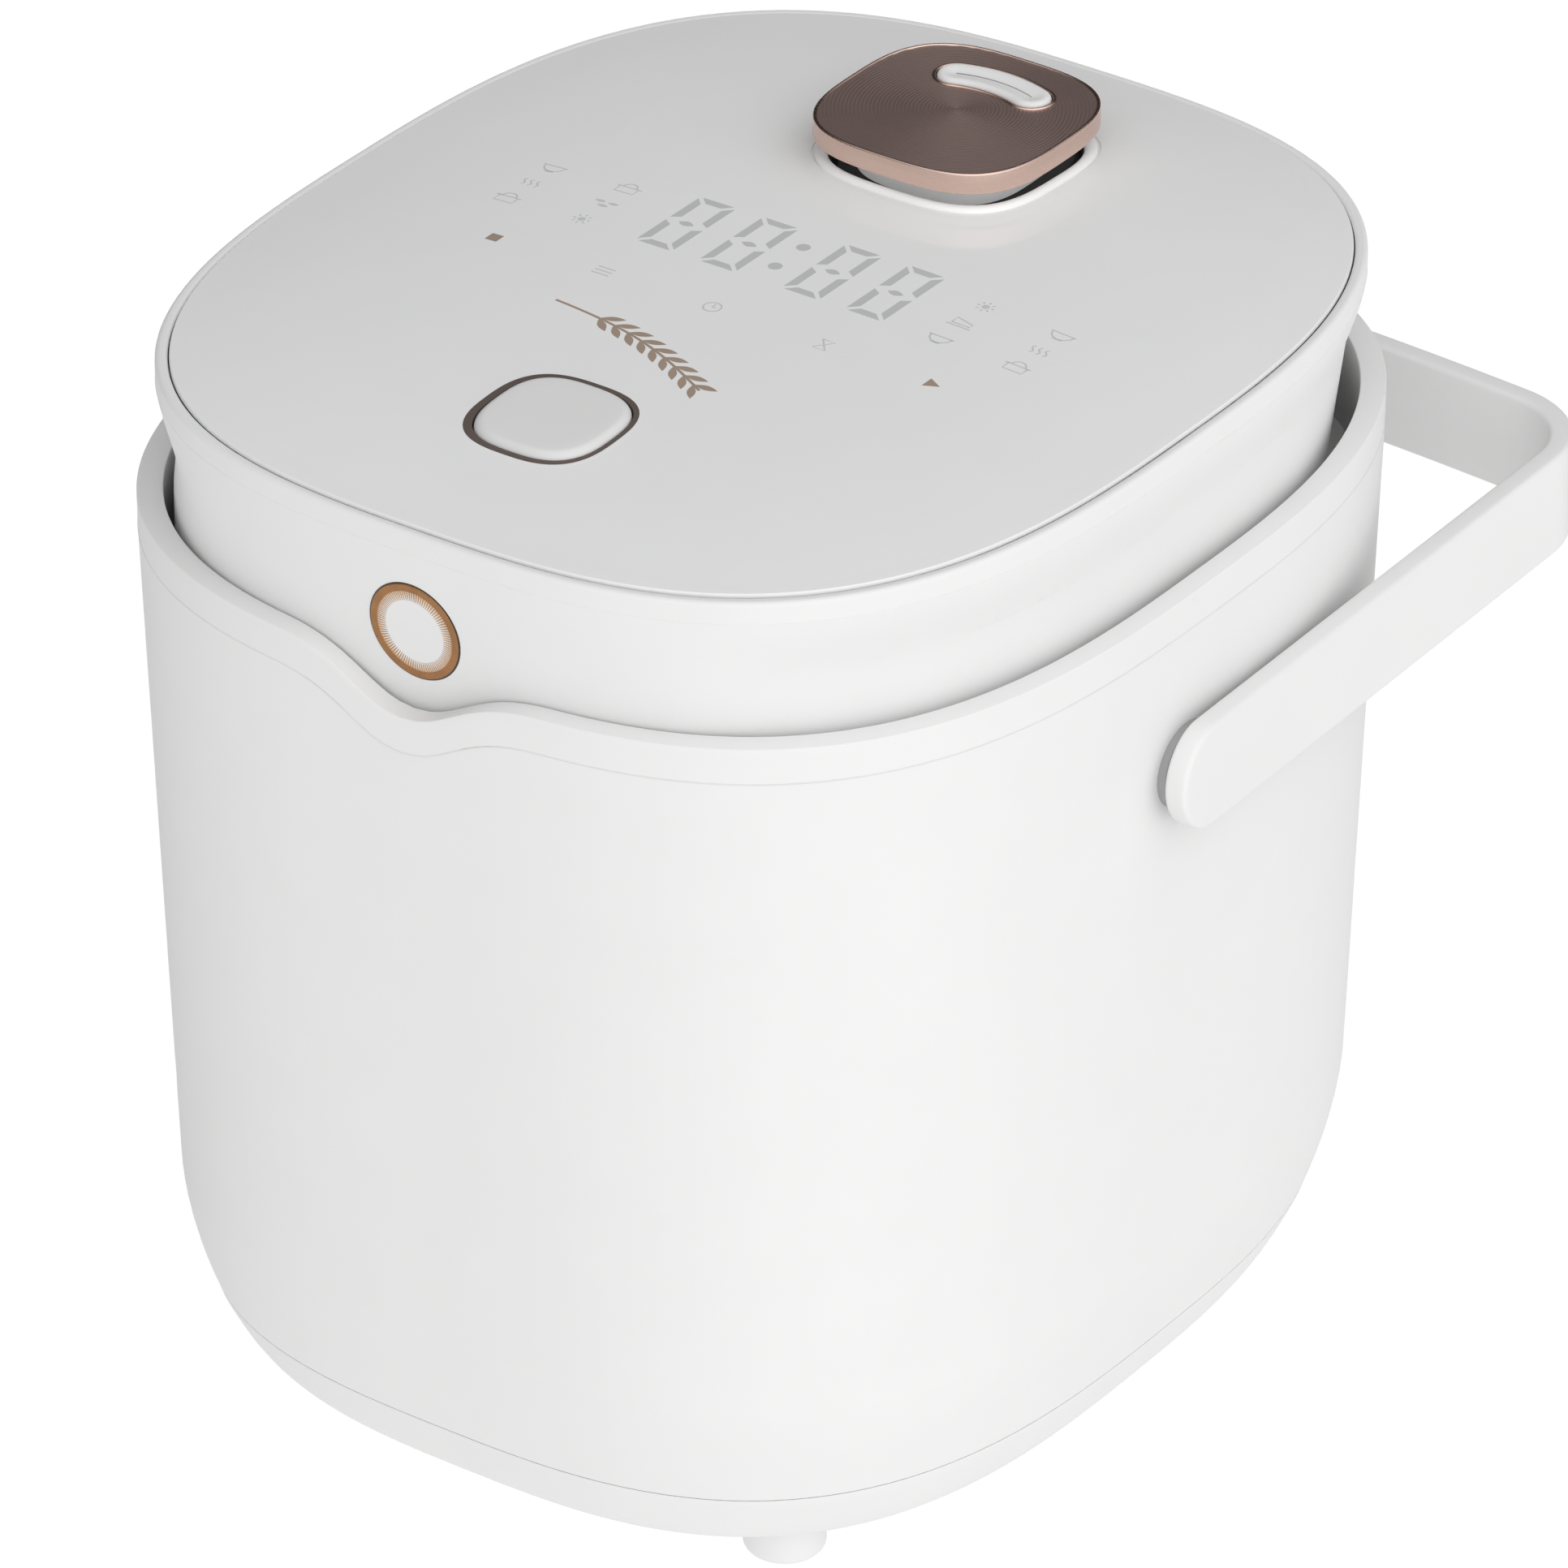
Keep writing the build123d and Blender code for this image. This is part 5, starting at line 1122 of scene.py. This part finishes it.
# Places and sizes of the signs, in millimetres
MENU_COLUMNS = (-66.0, -46.3, 46.9, 66.4)
MENU_ROWS = (14.0, 5.5, -3.0)
KEY_Y = -20.0
STOP_X = -57.0
START_X = 56.6
MODE_X = -28.2
CLOCK_X = 0.2
TIMER_X = 29.0
WAVE_STEPS = 8
WAVE_SWING = 0.45
WAVE_HEIGHT = 3.0
WAVE_PITCH = 1.7
BOWL_RADIUS = 2.6
BOWL_TOP = 0.7
BOWL_STEPS = 14
BOWL_RIM_HALF = 3.1
BOWL_FOOT_HALF = 1.2
BOWL_FOOT_Y = -2.1
POT_HALF = 2.4
POT_TOP = 0.6
POT_LOW = -1.9
POT_RIM_HALF = 3.2
POT_LID_RADIUS = 1.7
POT_LID_STEPS = 10
RICE_LENGTH = 3.0
RICE_WIDTH = 1.1
RICE_PLACES = ((-1.7, 0.8), (1.7, 0.8), (0.0, -0.9))
SUN_RADIUS = 0.9
SUN_STEPS = 18
SUN_RAYS = 8
SUN_RAY_NEAR = 1.4
SUN_RAY_FAR = 2.2
SLICE_BACK = -2.2
SLICE_TIP = 2.4
SLICE_LOW = -1.0
SLICE_BACK_TOP = 1.4
SLICE_TIP_TOP = 0.2
DISH_HALF = 3.0
DISH_Y = -1.9
DIAL_RADIUS = 2.0
DIAL_TURN = 358
DIAL_STEPS = 26
LONG_HAND = 1.3
SHORT_HAND = 1.0
GLASS_HALF = 1.6
GLASS_RISE = 2.0
LIST_HALF = 2.2
LIST_PITCH = 1.4


def level_line(half, y):
    """Level line of a drawing."""
    return stroke([(-half, y), (half, y)])


def wave(x):
    """Short rising wave, as over hot food."""
    points = []
    for step in range(WAVE_STEPS + 1):
        share = step / WAVE_STEPS
        points.append((x + WAVE_SWING * math.sin(2 * math.pi * share), WAVE_HEIGHT * (share - 0.5)))
    return stroke(points)


def bowl():
    """Bowl with a foot."""
    return [
        stroke(arc((0, BOWL_TOP), BOWL_RADIUS, 180, 360, BOWL_STEPS)),
        level_line(BOWL_RIM_HALF, BOWL_TOP),
        level_line(BOWL_FOOT_HALF, BOWL_FOOT_Y),
    ]


def pot():
    """Pot with a lid."""
    return [
        stroke([(-POT_HALF, POT_TOP), (-POT_HALF, POT_LOW), (POT_HALF, POT_LOW), (POT_HALF, POT_TOP)]),
        level_line(POT_RIM_HALF, POT_TOP),
        stroke(arc((0, POT_TOP), POT_LID_RADIUS, 0, 180, POT_LID_STEPS)),
    ]


def steam():
    """Three waves."""
    return [wave(x) for x in (-WAVE_PITCH, 0.0, WAVE_PITCH)]


def grain():
    """Three grains of rice."""
    return [moved(lens(RICE_LENGTH, RICE_WIDTH), x, y) for x, y in RICE_PLACES]


def sun():
    """Warmth: a disc with rays."""
    shapes = [dot((0, 0), SUN_RADIUS, SUN_STEPS)]
    for step in range(SUN_RAYS):
        angle = 2 * math.pi * step / SUN_RAYS
        way = Vector((math.cos(angle), math.sin(angle)))
        shapes.append(stroke([tuple(way * SUN_RAY_NEAR), tuple(way * SUN_RAY_FAR)]))
    return shapes


def cake():
    """Slice on a plate."""
    edge = [(SLICE_BACK, SLICE_LOW), (SLICE_BACK, SLICE_BACK_TOP), (SLICE_TIP, SLICE_TIP_TOP)]
    edge += [(SLICE_TIP, SLICE_LOW), (SLICE_BACK, SLICE_LOW)]
    return [stroke(edge), level_line(DISH_HALF, DISH_Y)]


def clock():
    """Round dial with two hands."""
    dial = stroke(arc((0, 0), DIAL_RADIUS, 0, DIAL_TURN, DIAL_STEPS))
    return [dial, stroke([(0, LONG_HAND), (0, 0), (SHORT_HAND, 0)])]


def timer():
    """Hourglass."""
    top = [(-GLASS_HALF, GLASS_RISE), (GLASS_HALF, GLASS_RISE)]
    bottom = [(-GLASS_HALF, -GLASS_RISE), (GLASS_HALF, -GLASS_RISE)]
    return [stroke(top + bottom + top[:1])]


def menu_lines():
    """Three lines of a list."""
    return [level_line(LIST_HALF, y) for y in (LIST_PITCH, 0.0, -LIST_PITCH)]


def icons():
    """Grey marks for the programs and keys."""
    mesh = ([], [])
    drawings = [bowl, steam, pot, grain, sun, cake]
    for column, x in enumerate(MENU_COLUMNS):
        for row, y in enumerate(MENU_ROWS):
            for shape in drawings[(2 * column + row) % len(drawings)]():
                add_slab(mesh, moved(shape, x, y))
    for drawing, x in ((menu_lines, MODE_X), (clock, CLOCK_X), (timer, TIMER_X)):
        for shape in drawing():
            add_slab(mesh, moved(shape, x, KEY_Y))
    piece("panel_icons", mesh, "print_pale", "lid")


# Sprig of grain and the stop and start marks, in millimetres
SPRIG_START = (-29.0, -36.0)
SPRIG_END = (19.0, -51.0)
SPRIG_BOW = 3.2
SPRIG_PAIRS = 9
GRAIN_LENGTH = 5.6
GRAIN_WIDTH = 1.9
GRAIN_TURN = 32.0
GRAIN_ROOT = 0.5
GRAINS_START = 0.24
GRAINS_SPAN = 0.7
STEM_STEPS = 24
STEM_WIDTH = 0.7
STEM_AHEAD = 0.02
STOP_HALF = 1.5
SQUARE = ((-1, -1), (1, -1), (1, 1), (-1, 1))
START_BACK = -1.4
START_TIP = 2.0
START_HALF = 1.8


def sprig_point(share):
    """Place on the bowed stem."""
    start, end = Vector(SPRIG_START), Vector(SPRIG_END)
    side = Vector((end.y - start.y, start.x - end.x)).normalized()
    return start.lerp(end, share) - side * SPRIG_BOW * math.sin(math.pi * share)


def turned(outline, degrees):
    """Outline turned about its origin."""
    angle = math.radians(degrees)
    cosine, sine = math.cos(angle), math.sin(angle)
    return [(x * cosine - y * sine, x * sine + y * cosine) for x, y in outline]


def brown_marks():
    """Stop and start marks, and a sprig of grain in front of the keys."""
    mesh = ([], [])
    square = [(STOP_HALF * across, STOP_HALF * ahead) for across, ahead in SQUARE]
    add_slab(mesh, moved(square, STOP_X, KEY_Y))
    arrow = [(START_BACK, -START_HALF), (START_TIP, 0.0), (START_BACK, START_HALF)]
    add_slab(mesh, moved(arrow, START_X, KEY_Y))
    stem = [tuple(sprig_point(step / STEM_STEPS)) for step in range(STEM_STEPS + 1)]
    add_slab(mesh, stroke(stem, STEM_WIDTH))
    leaf = moved(lens(GRAIN_LENGTH, GRAIN_WIDTH), GRAIN_LENGTH / 2 + GRAIN_ROOT, 0.0)
    for pair in range(SPRIG_PAIRS):
        share = GRAINS_START + GRAINS_SPAN * pair / (SPRIG_PAIRS - 1)
        here, ahead = sprig_point(share), sprig_point(share + STEM_AHEAD)
        heading = math.degrees(math.atan2(ahead.y - here.y, ahead.x - here.x))
        for side in (-1, 1):
            add_slab(mesh, moved(turned(leaf, heading + side * GRAIN_TURN), here.x, here.y))
    piece("panel_marks", mesh, "print_brown", "lid")


digits()
icons()
brown_marks()


# Floor, camera and light

FLOOR_HALF = 8.0
FLOOR_COLOUR = (0.03, 0.03, 0.03)
FLOOR_GLOW = 0.975
CLIP_END = 20.0
SKY_TURN = 21.0
SKY_SIDE = 1.2
SKY_TOP = 1.07
SKY_LEAST = 0.03


def floor():
    """Plain pale floor."""
    mesh = bpy.data.meshes.new("floor")
    corners = [(FLOOR_HALF * across, FLOOR_HALF * ahead, 0) for across, ahead in SQUARE]
    mesh.from_pydata(corners, [], [(0, 1, 2, 3)])
    ground = bpy.data.objects.new("floor", mesh)
    bpy.context.scene.collection.objects.link(ground)
    paper = surface("floor_paper", FLOOR_COLOUR, 0.9, mottle=0.01, mottle_size=0.4,
                    sockets={"Emission Color": WHITE, "Emission Strength": FLOOR_GLOW})
    ground.data.materials.append(paper)


def camera():
    """Camera at the photograph's viewing angle."""
    azimuth = math.radians(CAMERA_AZIMUTH)
    elevation = math.radians(CAMERA_ELEVATION)
    right = Vector((math.cos(azimuth), math.sin(azimuth), 0.0))
    away = Vector((math.sin(azimuth), -math.cos(azimuth), 0.0)) * math.cos(elevation)
    away.z = math.sin(elevation)
    target = Vector((0.0, AXIS_Y, LIP_Z - CAMERA_BELOW_LIP)) + right * CAMERA_SIDE
    data = bpy.data.cameras.new("photo_camera")
    data.sensor_width = SENSOR
    data.lens = SENSOR * FOCAL_PIXELS / IMAGE_SIDE
    data.clip_end = CLIP_END
    eye = bpy.data.objects.new("photo_camera", data)
    eye.location = target + away * CAMERA_DISTANCE
    eye.rotation_euler = (-away).to_track_quat("-Z", "Y").to_euler()
    bpy.context.scene.collection.objects.link(eye)
    bpy.context.scene.camera = eye


def studio():
    """White sky that brightens upwards and towards the front right."""
    scene = bpy.context.scene
    scene.view_settings.view_transform = "Standard"
    world = bpy.data.worlds.new("studio")
    world.use_nodes = True
    tree = world.node_tree
    backdrop = tree.nodes["Background"]
    backdrop.inputs["Color"].default_value = WHITE
    way = tree.nodes.new("ShaderNodeTexCoord")
    slope = tree.nodes.new("ShaderNodeVectorMath")
    slope.operation = "DOT_PRODUCT"
    azimuth = math.radians(CAMERA_AZIMUTH + SKY_TURN)
    side = (SKY_SIDE * math.sin(azimuth), -SKY_SIDE * math.cos(azimuth))
    slope.inputs[1].default_value = (*side, SKY_TOP)
    tree.links.new(way.outputs["Generated"], slope.inputs[0])
    least = tree.nodes.new("ShaderNodeMath")
    least.operation = "MAXIMUM"
    least.inputs[1].default_value = SKY_LEAST
    tree.links.new(slope.outputs["Value"], least.inputs[0])
    tree.links.new(least.outputs["Value"], backdrop.inputs["Strength"])
    scene.world = world


floor()
camera()
studio()
